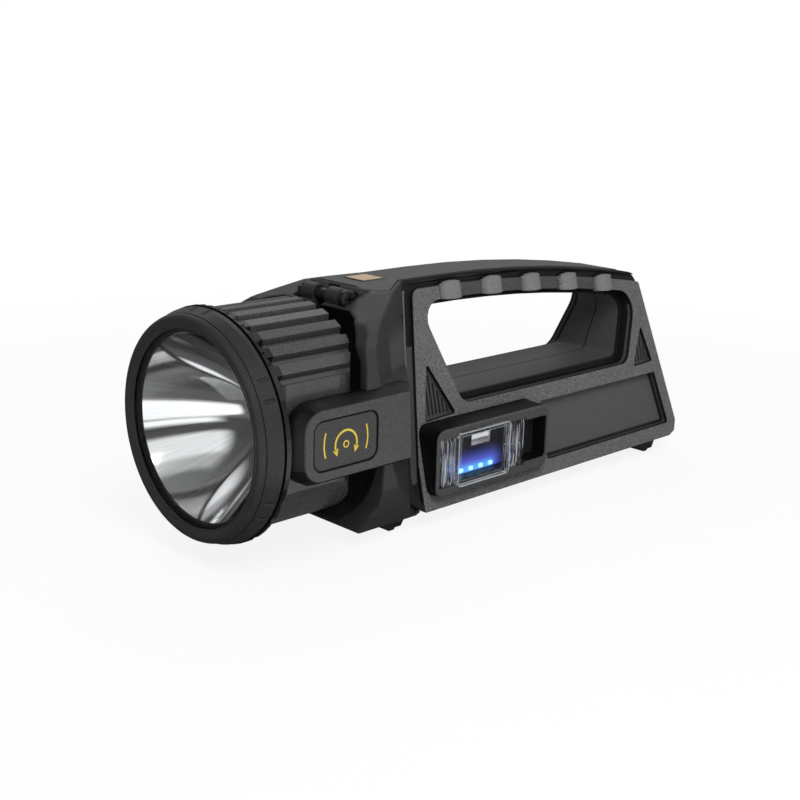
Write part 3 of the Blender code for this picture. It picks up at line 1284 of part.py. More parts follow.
def port_flap(hinge):
    """Clear flap: ribbed wings, a raised window, and a barrel with two nubs at its hinged end."""
    flap = box((HINGE_X, FLAP_BACK), (-FLAP_OUTER, -FLAP_INNER), (FLAP_LOW, FLAP_HIGH))
    centre = (HINGE_X, -HINGE_Y)
    join(flap, rod("Z", FLAP_LOW + GAP, FLAP_HIGH - GAP, BARREL_RADIUS, centre, steps=18))
    join(flap, rod("Z", FLAP_LOW - NUB_LENGTH, FLAP_HIGH + NUB_LENGTH, NUB_RADIUS, centre, steps=16))
    rise = 0.0010
    join(flap, prism([window_outline(0)], "Y", -PORT_FACE - rise, -FLAP_INNER - GAP))
    rib = 0.0005
    rib_width = 0.0010
    wings = ((HINGE_X + 2 * BARREL_RADIUS, WINDOW_FRONT - rib_width, 4),
             (WINDOW_BACK + rib_width, FLAP_BACK, 5))
    for first, last, count in wings:
        pitch = (last - first) / count
        for index in range(count):
            middle = first + pitch * (index + 0.5)
            join(flap, box((middle - rib_width / 2, middle + rib_width / 2),
                           (-FLAP_OUTER - rib, -FLAP_OUTER + rib),
                           (FLAP_LOW + FLAP_THICKNESS, FLAP_HIGH - FLAP_THICKNESS)))
    return keep(flap, "port_flap", CLEAR, hinge)


def around(place, size, grow):
    """The box edges of a thing at a place on the port's panel, widened all round."""
    return ((place[0] - size[0] / 2 - grow, place[0] + size[0] / 2 + grow),
            (place[1] - size[1] / 2 - grow, place[1] + size[1] / 2 + grow))


def port_inside(parent):
    """Board in the frame with two sockets and four battery lights, and the panel they show through."""
    back = -PORT_PANEL_FACE + PORT_PANEL_THICKNESS
    panel = prism([port_opening(-GAP)], "Y", -PORT_PANEL_FACE, back)
    places = [(USB_PLACE, USB_SIZE), (CHARGE_PLACE, CHARGE_SIZE)]
    lights = [(LIGHT_FIRST + LIGHT_PITCH * index, LIGHT_UP) for index in range(4)]
    places += [(place, LIGHT_SIZE) for place in lights]
    for place, size in places:
        along, up = around(place, size, GAP)
        cut(panel, box(along, (-PORT_PANEL_FACE - OVERRUN, back + OVERRUN), up))
    keep(panel, "port_panel", SMOOTH_BLACK, parent)
    board = prism([port_opening(-GAP)], "Y", -PORT_BOARD_FRONT, -PORT_BOARD_FRONT + PORT_BOARD_THICKNESS)
    keep(board, "port_board", BOARD_GREEN, parent)
    seat = PORT_BOARD_FRONT + GAP
    depth = PORT_PANEL_FACE - seat + GAP
    socket("usb_socket", *USB_PLACE, USB_SIZE, seat, depth, parent)
    socket("charge_socket", *CHARGE_PLACE, CHARGE_SIZE, seat, depth, parent)
    tongue_half = 0.0057
    tongue_thick = 0.0018
    wall = 0.0004
    tongue = box((USB_PLACE[0] - tongue_half, USB_PLACE[0] + tongue_half),
                 (-PORT_PANEL_FACE, -seat - wall - GAP),
                 (USB_PLACE[1] + wall / 2, USB_PLACE[1] + wall / 2 + tongue_thick))
    keep(tongue, "usb_tongue", WHITE, parent)
    for number, place in enumerate(lights, 1):
        along, up = around(place, LIGHT_SIZE, 0)
        keep(box(along, (-PORT_PANEL_FACE - GAP, -seat), up), "battery_light_%d" % number, BLUE, parent)


def socket(name, along, up, size, seat, depth, parent):
    """A sheet-metal socket, open toward the flap."""
    wall = 0.0004
    half_length, half_height = size[0] / 2, size[1] / 2
    shell = box((along - half_length, along + half_length), (-seat - depth, -seat),
                (up - half_height, up + half_height))
    cut(shell, box((along - half_length + wall, along + half_length - wall),
                   (-seat - depth - OVERRUN, -seat - wall),
                   (up - half_height + wall, up + half_height - wall)))
    keep(shell, name, STEEL, parent)


CELL_RADIUS = 0.0092
CELL_FRONT_STEP = 0.0150
CELL_BACK_STEP = 0.0370
CELL_FRONT = PORT_BACK + CELL_FRONT_STEP
CELL_BACK = BODY_BACK - CELL_BACK_STEP
SPINE_SHARE = 0.38
HOLDER_PLATE = 0.0022


def battery(parent):
    """Four cells in a holder that stands on the body's floor."""
    spread = CELL_RADIUS + GAP + BLEND / 4
    low = BODY_BOTTOM + BODY_WALL + GAP
    centre = low + CELL_RADIUS + BLEND / 4 + spread
    back = CELL_BACK
    number = 1
    for across in (-spread, spread):
        for up in (centre - spread, centre + spread):
            cell = rod("X", CELL_FRONT, back, CELL_RADIUS, (across, up), steps=28)
            keep(smoothed(cell), "battery_cell_%d" % number, CELL_BLUE, parent)
            number += 1
    half = spread + CELL_RADIUS - BLEND / 2
    ends = ((CELL_FRONT - GAP - HOLDER_PLATE, CELL_FRONT - GAP), (back + GAP, back + GAP + HOLDER_PLATE))
    holder = rod("X", ends[0][0] + BLEND / 2, ends[1][1] - BLEND / 2, CELL_RADIUS * SPINE_SHARE, (0, centre),
                 steps=20)
    for end in ends:
        join(holder, box(end, (-half, half), (low, centre + half)))
    keep(smoothed(holder), "battery_holder", SMOOTH_BLACK, parent)


BOARD_FRONT_STEP = 0.0140
BOARD_BACK_STEP = 0.0090
BOARD_HALF_WIDTH = 0.0170
BOARD_THICKNESS = 0.0016
COIL_HEIGHT = 0.0070
# Each block on the board: middle along and across, length, width and height, as shares of the board's
# length, half width, length and half width, and of the tallest block
BLOCK_SHARES = ((0.15, 0.3, 0.168, 0.706, 1), (0.45, -0.3, 0.14, 0.47, 0.5), (0.75, 0.2, 0.196, 0.588, 0.714))


def driver_board(parent):
    """Charging and lamp driver board, flat on the body's floor in front of the cells."""
    front = HEEL_CORNER[0] + BOARD_FRONT_STEP
    back = CELL_FRONT - BOARD_BACK_STEP
    half = BOARD_HALF_WIDTH
    low = BODY_BOTTOM + BODY_WALL + GAP
    board = box((front, back), (-half, half), (low, low + BOARD_THICKNESS))
    for along_share, across_share, length_share, width_share, height_share in BLOCK_SHARES:
        along = front + (back - front) * along_share
        across = half * across_share
        length = (back - front) * length_share
        width = half * width_share
        join(board, box((along - length / 2, along + length / 2), (across - width / 2, across + width / 2),
                        (low + BOARD_THICKNESS / 2, low + BOARD_THICKNESS + COIL_HEIGHT * height_share)))
    keep(board, "driver_board", BOARD_GREEN, parent)


def housing_screws(parent):
    """Self-tapping screws from the far side, each head sunk in its boss."""
    head_length = 0.0020
    for number, (along, up) in enumerate(screw_places(), 1):
        under = SCREW_SEAT + GAP
        profile = [(0, -SCREW_SEAT + BLEND), (SCREW_RADIUS, -SCREW_SEAT + BLEND), (SCREW_RADIUS, under),
                   (SCREW_HEAD_RADIUS, under), (SCREW_HEAD_RADIUS, under + head_length),
                   (0, under + head_length)]
        screw = turned(profile, "Y", (along, 0, up), 20)
        keep(smoothed(screw), "housing_screw_%d" % number, STEEL, parent)


FRONT_FOOT_STEP = 0.0110
BACK_FOOT_STEP = 0.0205
FRONT_FOOT_X = FRONT_EDGE - FRONT_FOOT_STEP
BACK_FOOT_X = BODY_BACK - BACK_FOOT_STEP
FRONT_FOOT_HALF = 0.0280
BACK_FOOT_HALF = 0.0310
FOOT_TREAD = 0.0030
FOOT_HEEL_RISE = 0.0009
FOOT_HEEL_LENGTH = 0.0045
FOOT_HEEL_SLOPE = 0.0035
FOOT_FRONT_SHARE = 1.3


def foot(name, front, seat, half_width, parent):
    """A wedge-shaped foot bar across the underside, with a low ledge at its back."""
    ground = -FLOOR_DROP
    tread = front + FOOT_TREAD
    heel = tread + FOOT_HEEL_LENGTH
    slope = (seat - ground) * FOOT_FRONT_SHARE
    outline = [(front - slope, seat), (front, ground), (tread, ground),
               (tread + FOOT_HEEL_RISE, ground + FOOT_HEEL_RISE), (heel, ground + FOOT_HEEL_RISE),
               (heel + FOOT_HEEL_SLOPE, seat)]
    bar = prism([outline], "Y", -half_width, half_width)
    keep(bar, name, RUBBER, parent)


def build():
    lamp = empty("lamp", (0, 0, 0))
    head = empty("head_axis", (PIVOT_X, 0, 0), lamp)
    hinge = empty("flap_axis", (HINGE_X, -HINGE_Y, (PORT_TOP + PORT_BOTTOM) / 2), lamp)
    button_axis = empty("button_axis", (BUTTON_X, 0, BODY_TOP), lamp)
    bezel_ring(head)
    optics(head)
    light_source(head)
    head_shell(head)
    front_yoke(lamp)
    for name, side in (("left", -1), ("right", 1)):
        pivot(name, side, head, lamp)
        arm_cap(name, side, lamp)
        side_housing(name, side, lamp)
    strap_pin(lamp)
    top_cover(lamp)
    power_button(button_axis, lamp)
    port_frame(lamp)
    port_flap(hinge)
    port_inside(lamp)
    battery(lamp)
    driver_board(lamp)
    housing_screws(lamp)
    foot("front_foot", FRONT_FOOT_X, YOKE_BOTTOM - GAP, FRONT_FOOT_HALF, lamp)
    foot("rear_foot", BACK_FOOT_X, BODY_BOTTOM - GAP, BACK_FOOT_HALF, lamp)
    lamp.location = (-BODY_BACK / 2, 0, FLOOR_DROP)
    bpy.context.view_layer.update()


build()
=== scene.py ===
# Handheld searchlight, dressed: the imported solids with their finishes, and finer pieces where the eye
# needs them. The file goes through the lamp in the order in which it is put together, front to back.
# Lengths are in metres, in the frame's own place: x runs from the bezel to the tail, z is up.

import math

import bmesh
import bpy
import numpy as np
from mathutils import Matrix, Vector


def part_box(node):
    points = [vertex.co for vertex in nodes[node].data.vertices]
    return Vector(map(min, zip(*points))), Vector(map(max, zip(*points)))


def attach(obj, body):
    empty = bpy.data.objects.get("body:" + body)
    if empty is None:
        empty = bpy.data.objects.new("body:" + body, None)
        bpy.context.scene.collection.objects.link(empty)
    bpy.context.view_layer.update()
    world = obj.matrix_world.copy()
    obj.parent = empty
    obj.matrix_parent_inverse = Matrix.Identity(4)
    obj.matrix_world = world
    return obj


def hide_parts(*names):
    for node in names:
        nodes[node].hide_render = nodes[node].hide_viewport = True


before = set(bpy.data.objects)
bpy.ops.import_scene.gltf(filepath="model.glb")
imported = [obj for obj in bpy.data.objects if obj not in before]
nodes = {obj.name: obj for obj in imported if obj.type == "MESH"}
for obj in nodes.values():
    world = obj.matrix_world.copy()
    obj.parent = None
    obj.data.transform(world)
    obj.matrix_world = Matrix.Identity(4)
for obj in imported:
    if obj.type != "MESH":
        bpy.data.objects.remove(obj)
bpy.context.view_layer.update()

# BEZEL RING
# Screw-on front ring, moulded in black plastic with a lightly sparked surface. It traps the lens
# against the head, and pairs of snap slots are let into its side band.
HEAD_X = -0.1490
HEAD_Z = 0.0573


class Wire:
    """One output in a node tree. Signs between wires and numbers add Math nodes."""

    def __init__(self, tree, socket=None):
        self.tree = tree
        self.socket = socket

    def node(self, kind, settings=None, sockets=None, out=0):
        """Any other node: its settings first, then the values or wires of its sockets."""
        made = self.tree.nodes.new("ShaderNode" + kind)
        for name, value in (settings or {}).items():
            if name == "stops":
                while len(made.color_ramp.elements) < len(value):
                    made.color_ramp.elements.new(0.5)
                for stop, (place, colour) in zip(made.color_ramp.elements, value):
                    stop.position = place
                    stop.color = (*colour, 1.0)
            else:
                setattr(made, name, value)
        for key, value in (sockets or {}).items():
            if isinstance(value, Wire):
                self.tree.links.new(value.socket, made.inputs[key])
            else:
                made.inputs[key].default_value = value
        return Wire(self.tree, made.outputs[out])

    def sum_of(self, operation, first, second=0.0):
        """One Math node on wires or numbers."""
        return self.node("Math", {"operation": operation}, {0: first, 1: second})

    def __add__(self, other):
        return self.sum_of("ADD", self, other)

    def __sub__(self, other):
        return self.sum_of("SUBTRACT", self, other)

    def __rsub__(self, other):
        return self.sum_of("SUBTRACT", other, self)

    def __mul__(self, other):
        return self.sum_of("MULTIPLY", self, other)

    def __truediv__(self, other):
        return self.sum_of("DIVIDE", self, other)

    def __pow__(self, other):
        return self.sum_of("POWER", self, other)

    def __gt__(self, other):
        return self.sum_of("GREATER_THAN", self, other)

    def __lt__(self, other):
        return self.sum_of("LESS_THAN", self, other)

    def __abs__(self):
        return self.sum_of("ABSOLUTE", self)

    __radd__ = __add__
    __rmul__ = __mul__

    def least(self, other):
        return self.sum_of("MINIMUM", self, other)

    def most(self, other):
        return self.sum_of("MAXIMUM", self, other)

    def step(self, low, high):
        """0 below low, 1 above high, and smooth between them."""
        return self.node("MapRange", {"interpolation_type": "SMOOTHSTEP"}, {"Value": self, 1: low, 2: high})

    def between(self, low, high):
        """A colour that goes from one to the other with this wire."""
        low = low if isinstance(low, Wire) else (*low, 1.0)
        high = high if isinstance(high, Wire) else (*high, 1.0)
        return self.node("Mix", {"data_type": "RGBA"}, {0: self, 6: low, 7: high}, out=2)


def finish(name, **constants):
    """A new material. Gives the material, its shader's plug for wires, and the place on the object."""
    made = bpy.data.materials.new(name)
    made.use_nodes = True
    tree = made.node_tree
    shader = tree.nodes["Principled BSDF"]
    for key, value in constants.items():
        socket = shader.inputs[key.replace("_", " ").title().replace("Ior", "IOR")]
        socket.default_value = (*value, 1.0) if isinstance(value, tuple) else value

    def plug(key, wire):
        tree.links.new(wire.socket, shader.inputs[key])

    place = Wire(tree).node("TexCoord", out=3)
    return made, plug, place


def parts_of(place):
    """The three numbers of a place."""
    made = place.tree.nodes.new("ShaderNodeSeparateXYZ")
    place.tree.links.new(place.socket, made.inputs[0])
    return [Wire(place.tree, made.outputs[index]) for index in range(3)]


def noise(place, scale, detail=2.0, rough=0.5):
    """Soft noise between 0 and 1, with so many waves to the metre."""
    return place.node("TexNoise", {}, {"Vector": place, "Scale": scale, "Detail": detail, "Roughness": rough})


def rounded_edges(place, radius):
    """The surface's direction with its edges rounded in the light alone."""
    return place.node("Bevel", {"samples": 4}, {"Radius": radius})


def grain(place, scale, height, edge=0.0004):
    """Spark-eroded grain on edges rounded a little. Gives the surface's direction and the grain itself."""
    speckle = noise(place, scale, 3.0, 0.6)
    soft = rounded_edges(place, edge)
    bent = place.node("Bump", {}, {"Strength": 1.0, "Distance": height, "Height": speckle, "Normal": soft})
    return bent, speckle


def smooth_plastic(name, shade, dull, scale=1500.0, height=0.00003, edge=0.0004, shine=0.4, dark_where=None):
    """Smooth black moulding: a faint grain, and a shine that drifts from place to place. A rule on the
    place says how far it is painted towards plain black: painted shade, and where the rule gives less, a
    painted highlight."""
    made, plug, place = finish(name, ior=1.5, specular_ior_level=shine)
    bent, speckle = grain(place, scale, height, edge)
    drift = noise(place, 60.0)
    tone = speckle.step(0.3, 0.75).between((shade * 0.75,) * 3, (shade * 1.3,) * 3)
    # Painted shade: where the rule says so, the colour is pulled towards plain black.
    if dark_where:
        tone = dark_where(*parts_of(place)).between(tone, (0.003, 0.003, 0.003))
    plug("Base Color", tone)
    plug("Roughness", drift * 0.12 + speckle * 0.1 + (dull - 0.11))
    plug("Normal", bent)
    return made


def piece(name, points, faces, material, body, sharp=40):
    """A new mesh piece from points and faces, shaded smooth except at sharp edges."""
    mesh = bpy.data.meshes.new(name)
    mesh.from_pydata(np.asarray(points).tolist(), [], faces)
    mesh.validate()
    mesh.materials.append(material)
    made = bpy.data.objects.new(name, mesh)
    bpy.context.scene.collection.objects.link(made)
    mesh.shade_smooth()
    mesh.set_sharp_from_angle(angle=math.radians(sharp))
    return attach(made, body)


def lattice(rows, columns, loop_rows=False, loop_columns=True):
    """Faces of a grid of points, row after row, closed round its columns, its rows, or both."""
    row = np.arange(rows if loop_rows else rows - 1)[:, None]
    column = np.arange(columns if loop_columns else columns - 1)[None, :]
    after, beside = (row + 1) % rows, (column + 1) % columns
    this_row, next_row = row * columns, after * columns
    quads = [this_row + column, this_row + beside, next_row + beside, next_row + column]
    return np.stack(np.broadcast_arrays(*quads), -1).reshape(-1, 4).tolist()


def curved(points, radius, steps=4):
    """A profile whose inner corners are rounded: each corner becomes a short curve between the points
    that lie one radius along its two sides, or a little less than half of a short side."""
    points = np.asarray(points, float)
    out = [points[0]]
    for before, here, after in zip(points, points[1:], points[2:]):
        back, on = before - here, after - here
        reach = min(radius, np.linalg.norm(back) * 0.45, np.linalg.norm(on) * 0.45)
        start = here + back / np.linalg.norm(back) * reach
        end = here + on / np.linalg.norm(on) * reach
        along = np.linspace(0, 1, steps + 1)[:, None]
        out += list((1 - along) ** 2 * start + 2 * along * (1 - along) * here + along ** 2 * end)
    return np.array(out + [points[-1]])


def turned(profile, steps):
    """A profile of (distance behind the bezel's face, radius) turned round the head's axis: for each
    profile point, x is the distance, and y and z are the radius times the sine and cosine of the angle."""
    angle = np.linspace(0, 2 * math.pi, steps, endpoint=False)[None, :]
    along, radius = profile[:, :1], profile[:, 1:]
    return np.stack(np.broadcast_arrays(HEAD_X + along, radius * np.sin(angle),
                                        HEAD_Z + radius * np.cos(angle)), -1)


groove_back, band_back, tail_front = 0.00311, 0.0074, 0.0096


def close_rows(profile, rows):
    """The profile with close rows put in along the side band, so that the snap slots get crisp ends."""
    inner = profile[profile[:, 0] <= groove_back]
    outer = profile[(profile[:, 0] > band_back) & (profile[:, 0] < tail_front)]
    tail = profile[profile[:, 0] >= tail_front]
    share = np.linspace(0, 1, rows)[1:-1, None]
    slope = inner[-1] + (outer[0] - inner[-1]) * share
    middle = np.linspace(outer[-1], tail[0], 5)[1:-1]
    return np.vstack([inner, slope, outer, middle, tail])


ring_steps, ring_corner, ring_rows = 720, 0.00035, 15
lens_seat = [(0.0018, 0.0443), (0.0018, 0.0414), (0.0014, 0.0414), (0.0014, 0.0422)]
ring_face = [(0.0000, 0.0447), (0.0000, 0.0462), (0.0008, 0.0470), (0.0024, 0.0477)]
side_band = [(0.0024, 0.0470), (0.0031, 0.0470), (0.0031, 0.0480), (0.0080, 0.0494)]
ring_tail = [(0.0103, 0.0494), (0.0103, 0.0443)]
ring_profile = close_rows(curved(lens_seat + ring_face + side_band + ring_tail, ring_corner), ring_rows)
ring_points = turned(ring_profile, ring_steps)

# Snap slots: a pair every 60 degrees, each slot 5 degrees off the pair's middle.
pair_pitch, slot_off, slot_half = 60, 5, 0.7
slot_front, slot_back, slot_low, slot_depth = 0.0048, 0.0092, 0.0478, 0.0007
ring_angle = np.linspace(0, 360, ring_steps, endpoint=False)
off_pair = np.abs((ring_angle[None, :] + pair_pitch / 2) % pair_pitch - pair_pitch / 2)
along, radius = ring_profile[:, :1], ring_profile[:, 1:]
in_slot = (np.abs(off_pair - slot_off) < slot_half) & (along > slot_front) & (along < slot_back)
sunk = np.where(in_slot & (radius > slot_low), slot_depth, 0.0) / radius
ring_points[..., 1] *= 1 - sunk
ring_points[..., 2] = HEAD_Z + (ring_points[..., 2] - HEAD_Z) * (1 - sunk)
bezel_finish = smooth_plastic("bezel_black", shade=0.030, dull=0.38, scale=1700.0, edge=0.0003, shine=0.2)
bezel = piece("bezel", ring_points.reshape(-1, 3), lattice(len(ring_profile), ring_steps, loop_rows=True),
              bezel_finish, "head", sharp=35)
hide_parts("bezel_ring")

# LENS AND GASKET
# Flat pane of clear hardened plastic, 2 mm thick, with a soft black ring behind its edge. The bezel
# presses both against the reflector's flange.


def give(material, *names):
    """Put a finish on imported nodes."""
    for name in names:
        nodes[name].data.materials.clear()
        nodes[name].data.materials.append(material)


see_through = {"ior": 1.2, "transmission_weight": 1.0}
lens_clear, plug, place = finish("lens_clear", **see_through, base_color=(0.97, 0.98, 0.98))
plug("Roughness", noise(place, 40.0) * 0.02)
give(lens_clear, "lens")
rubber, plug, place = finish("soft_rubber")
bent, speckle = grain(place, scale=900.0, height=0.00005)
plug("Base Color", speckle.between((0.010, 0.010, 0.010), (0.024, 0.024, 0.024)))
plug("Roughness", speckle * 0.2 + 0.65)
plug("Normal", bent)
give(rubber, "lens_gasket", "friction_washer_left", "friction_washer_right")

# REFLECTOR
# Deep parabolic bowl of thin plastic, vacuum-coated with aluminium. Its flange is pinched behind the
# gasket, and faint flow lines of the moulding run from its throat to its mouth.
bowl_mouth, bowl_throat, bowl_front, bowl_back, bowl_wall = 0.0394, 0.0050, 0.0052, 0.0390, 0.0010
flange_radius, flange_back, bowl_rows, bowl_steps = 0.0430, 0.0062, 90, 288


def bowl_profile():
    """The bowl's section, front and back. Its depth falls with the square of its radius, from the throat
    at the back to the mouth in front. The back skin lies one wall off, square to the front one, and
    starts one blend behind the flange."""
    blend = 0.0004
    radius = np.linspace(bowl_mouth, bowl_throat, bowl_rows)
    share = (radius ** 2 - bowl_throat ** 2) / (bowl_mouth ** 2 - bowl_throat ** 2)
    depth = bowl_back - (bowl_back - bowl_front) * share
    steep = np.arctan2(bowl_mouth ** 2 - bowl_throat ** 2, 2 * radius * (bowl_back - bowl_front))
    behind = np.stack([depth + bowl_wall * np.cos(steep), radius + bowl_wall * np.sin(steep)], -1)
    behind = behind[behind[:, 0] > flange_back + blend]
    front = np.stack([depth, radius], -1)[::-1]
    flange = [(bowl_front, flange_radius), (flange_back, flange_radius)]
    return np.vstack([front, flange, behind, [(bowl_back, bowl_throat + bowl_wall)]])


chrome, plug, place = finish("chrome_coat", metallic=1.0)
x, y, z = parts_of(place)
turn = y.sum_of("ARCTAN2", y, z - HEAD_Z)
ring = place.node("CombineXYZ", {}, {0: turn * 9.0, 1: (x - HEAD_X) * 6.0})
flow = noise(ring, 2.2, 5.0, 0.62)
plug("Base Color", flow.step(0.3, 0.7).between((0.88, 0.88, 0.89), (0.96, 0.96, 0.97)))
plug("Roughness", flow.step(0.35, 0.75) * 0.06 + 0.05)
plug("Normal", place.node("Bump", {}, {"Strength": 0.3, "Distance": 0.00003, "Height": flow}))
bowl_points = turned(bowl_profile(), bowl_steps)
bowl = piece("reflector_bowl", bowl_points.reshape(-1, 3),
             lattice(len(bowl_points), bowl_steps, loop_rows=True), chrome, "head", sharp=50)
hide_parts("reflector")

# EMITTER, LED BOARD AND HEAT SINK
# One high-power LED with a silicone dome on a round aluminium board, screwed to a finned casting
# inside the head.
dome, plug, place = finish("led_dome", ior=1.42, subsurface_weight=0.2)
speckle = noise(place, 500.0)
plug("Base Color", speckle.between((0.80, 0.72, 0.30), (0.90, 0.84, 0.50)))
plug("Roughness", speckle * 0.1 + 0.15)
give(dome, "led_emitter")


def metal(name, colour, dull):
    """Bare metal with faint tool marks."""
    made, plug, place = finish(name, metallic=1.0)
    marks = noise(place, 400.0, 3.0)
    plug("Base Color", marks.between(tuple(part * 0.85 for part in colour), colour))
    plug("Roughness", marks * 0.2 + (dull - 0.1))
    plug("Normal", place.node("Bump", {}, {"Strength": 0.4, "Distance": 0.00003, "Height": marks}))
    return made


give(metal("cast_aluminium", (0.66, 0.67, 0.68), dull=0.45), "heat_sink", "led_board")

# HEAD SHELL
# Cup that carries the optics, moulded in black plastic: a plain collar behind the bezel, stepped ribs
# over its upper half and flat cheeks where the arms lie against it.
collar_back = HEAD_X + 0.0175
# Painted light: the collar is coloured near black and the rest of the shell lighter, standing in for the
# gleam on the ribs and the floor's bounce under the head.
give(smooth_plastic("shell_black", shade=0.050, dull=0.28, scale=1400.0, height=0.00005, edge=0.0005,
                    shine=0.5, dark_where=lambda x, y, z: x < collar_back), "head_shell")

# YOKE, ARM CAPS AND PIVOTS
# Moulded fork that holds the head between two arms. A steel pin with a screw turns in a bronze bush
# in each arm, under a chamfered cap.
# Limits of the arm walls that are painted black as shade and of the shoulder that is painted lighter as a
# highlight; then the edge of the caps' face.
arm_side, arm_half_height, arm_back = 0.0418, 0.0173, 0.0790
shoulder_side, shoulder_front, shoulder_rise, shoulder_fall = 0.0150, 0.0800, (0.016, 0.020), (0.026, 0.038)
cap_edge, cap_face = 0.0508, 0.0516


def yoke_painted_shade_and_highlight(x, y, z):
    """The arms' side walls are painted black as shade, and the shoulder over each arm is painted lightest as
    a highlight.
    """
    wall = (abs(y) > arm_side) * (abs(z - HEAD_Z) < arm_half_height) * (x < HEAD_X + arm_back)
    up = z - HEAD_Z
    shoulder = (abs(y) > shoulder_side) * (x > HEAD_X + shoulder_front)
    shoulder = shoulder * up.step(*shoulder_rise) * (1 - up.step(*shoulder_fall))
    return wall.most(0.62 - shoulder * 0.55)


def cap_painted_shade(x, y, z):
    """The caps are painted black below the edge of their outer face, as shade on their side walls."""
    return 1 - abs(y).step(cap_edge, cap_face)


# The yoke's arm walls are painted black as shade and its shoulders lighter as a highlight.
give(smooth_plastic("yoke_black", shade=0.070, dull=0.42, scale=1300.0, height=0.00007, edge=0.0022,
                    dark_where=yoke_painted_shade_and_highlight), "front_yoke")
# The caps' side walls are painted black as shade.
give(smooth_plastic("cap_black", shade=0.054, dull=0.45, height=0.00007, shine=0.35, dark_where=cap_painted_shade),
     "arm_cap_left", "arm_cap_right")
give(metal("turned_steel", (0.60, 0.60, 0.62), dull=0.3), "pivot_pin_left", "pivot_pin_right",
     "pivot_screw_left", "pivot_screw_right", "button_switch",
     *["housing_screw_%d" % number for number in range(1, 6)])
give(metal("sintered_bronze", (0.55, 0.36, 0.18), dull=0.5), "pivot_bush_left", "pivot_bush_right")

# NAME PLATES
# Thin textured plastic plates let into the arm caps. Each carries a gold printed sign: an arc with an
# arrowhead at both ends, which says that the head turns.
PLATE_X = HEAD_X + 0.0402
print_thickness, off_plate = 0.00006, 0.00002
label_finish, plug, place = finish("label_grain")
bent, speckle = grain(place, scale=1500.0, height=0.00012)
plug("Base Color", speckle.step(0.35, 0.7).between((0.026, 0.026, 0.026), (0.058, 0.058, 0.056)))
plug("Roughness", speckle * 0.3 + 0.45)
plug("Normal", bent)
give(label_finish, "label_plate_left", "label_plate_right")

gold, plug, place = finish("gold_print", specular_ior_level=0.4)
speckle = noise(place, 2500.0)
plug("Base Color", speckle.between((0.58, 0.40, 0.03), (0.78, 0.60, 0.07)))
plug("Roughness", speckle * 0.2 + 0.4)


def strip(centre_line, width):
    """Points on both sides of a flat line: half the width to its left and right, square to its run."""
    run = np.gradient(centre_line, axis=0)
    run /= np.linalg.norm(run, axis=1)[:, None]
    side = np.stack([-run[:, 1], run[:, 0]], -1) * np.asarray(width)[..., None] / 2
    return np.stack([centre_line + side, centre_line - side], 1)


def turn_outward(mesh):
    """Merge doubles and turn every face outward."""
    work = bmesh.new()
    work.from_mesh(mesh)
    bmesh.ops.remove_doubles(work, verts=work.verts, dist=1e-7)
    bmesh.ops.recalc_face_normals(work, faces=work.faces)
    work.to_mesh(mesh)
    work.free()


def printed(name, shapes, face):
    """Flat shapes printed on a side face of the arm. Each is a grid of points (along, up), two to a row:
    it is laid down on the face and again one thickness out, and a wall runs round the edge."""
    points, faces = [], []
    thick = math.copysign(print_thickness, face)
    for shape in shapes:
        rows = len(shape)
        first = len(points)
        for depth in (0.0, thick):
            points += [(PLATE_X + u, face + depth, HEAD_Z + v) for u, v in shape.reshape(-1, 2)]
        sheet = lattice(rows, 2, False, False)
        faces += [[first + index for index in quad] for quad in sheet]
        faces += [[first + 2 * rows + index for index in quad[::-1]] for quad in sheet]
        edge = [2 * row for row in range(rows)] + [2 * row + 1 for row in range(rows)][::-1]
        faces += [[first + a, first + b, first + b + 2 * rows, first + a + 2 * rows]
                  for a, b in zip(edge, edge[1:] + edge[:1])]
    turn_outward(piece(name, points, faces, gold, "body").data)


def turning_sign():
    """The sign's strips: an arc of 220 degrees that opens downward, a tapering arrowhead on both ends, a
    bowed line on either side, and a small ring for the pivot."""
    arc_radius, arc_width, drop = 0.0058, 0.0009, -0.0012
    head_back, head_length, head_width, head_tip = -0.0004, 0.0024, 0.0030, 0.00008
    line_off, line_half, line_width, line_bow = 0.0108, 0.0052, 0.0007, 0.0009
    dial_radius, dial_width = 0.0013, 0.0006
    sweep = np.radians(np.linspace(200, -20, 41))
    arc = np.stack([arc_radius * np.cos(sweep), drop + arc_radius * np.sin(sweep)], -1)
    sign = [strip(arc, np.full(len(arc), arc_width))]
    for end, before in ((arc[0], arc[1]), (arc[-1], arc[-2])):
        heading = (end - before) / np.linalg.norm(end - before)
        line = end + heading * np.linspace(head_back, head_length, 5)[:, None]
        sign.append(strip(line, np.linspace(head_width, head_tip, 5)))
    share = np.linspace(-1, 1, 9)
    for way in (-1, 1):
        bowed = np.stack([way * (line_off + line_bow * (1 - share ** 2)), line_half * share], -1)
        sign.append(strip(bowed, np.full(len(bowed), line_width)))
    dial = np.radians(np.linspace(0, 360, 25))
    dial = np.stack([dial_radius * np.cos(dial), drop + dial_radius * np.sin(dial)], -1)
    sign.append(strip(dial, np.full(len(dial), dial_width)))
    return sign


for name, side in (("left", -1), ("right", 1)):
    low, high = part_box("label_plate_" + name)
    face = (low.y if side < 0 else high.y) + side * off_plate
    printed("label_sign_" + name, turning_sign(), face)

# STRAP PIN
# Blackened cross-head screw and hexagon nut, turned and threaded steel. The screw goes through two
# round knuckles on the yoke's nose, and a wrist strap would loop round its bare middle.
give(smooth_plastic("blackened_steel", shade=0.015, dull=0.34, scale=900.0), "strap_screw", "strap_nut")

# TOP COVER
# Smooth strip of moulded black plastic that slopes down a little on both sides. It is snapped over the
# yoke's deck and along the grip, and hides the seam between the two halves of the body.
give(smooth_plastic("cover_black", shade=0.060, dull=0.48, scale=1200.0, edge=0.0003, shine=0.35),
     "top_cover")
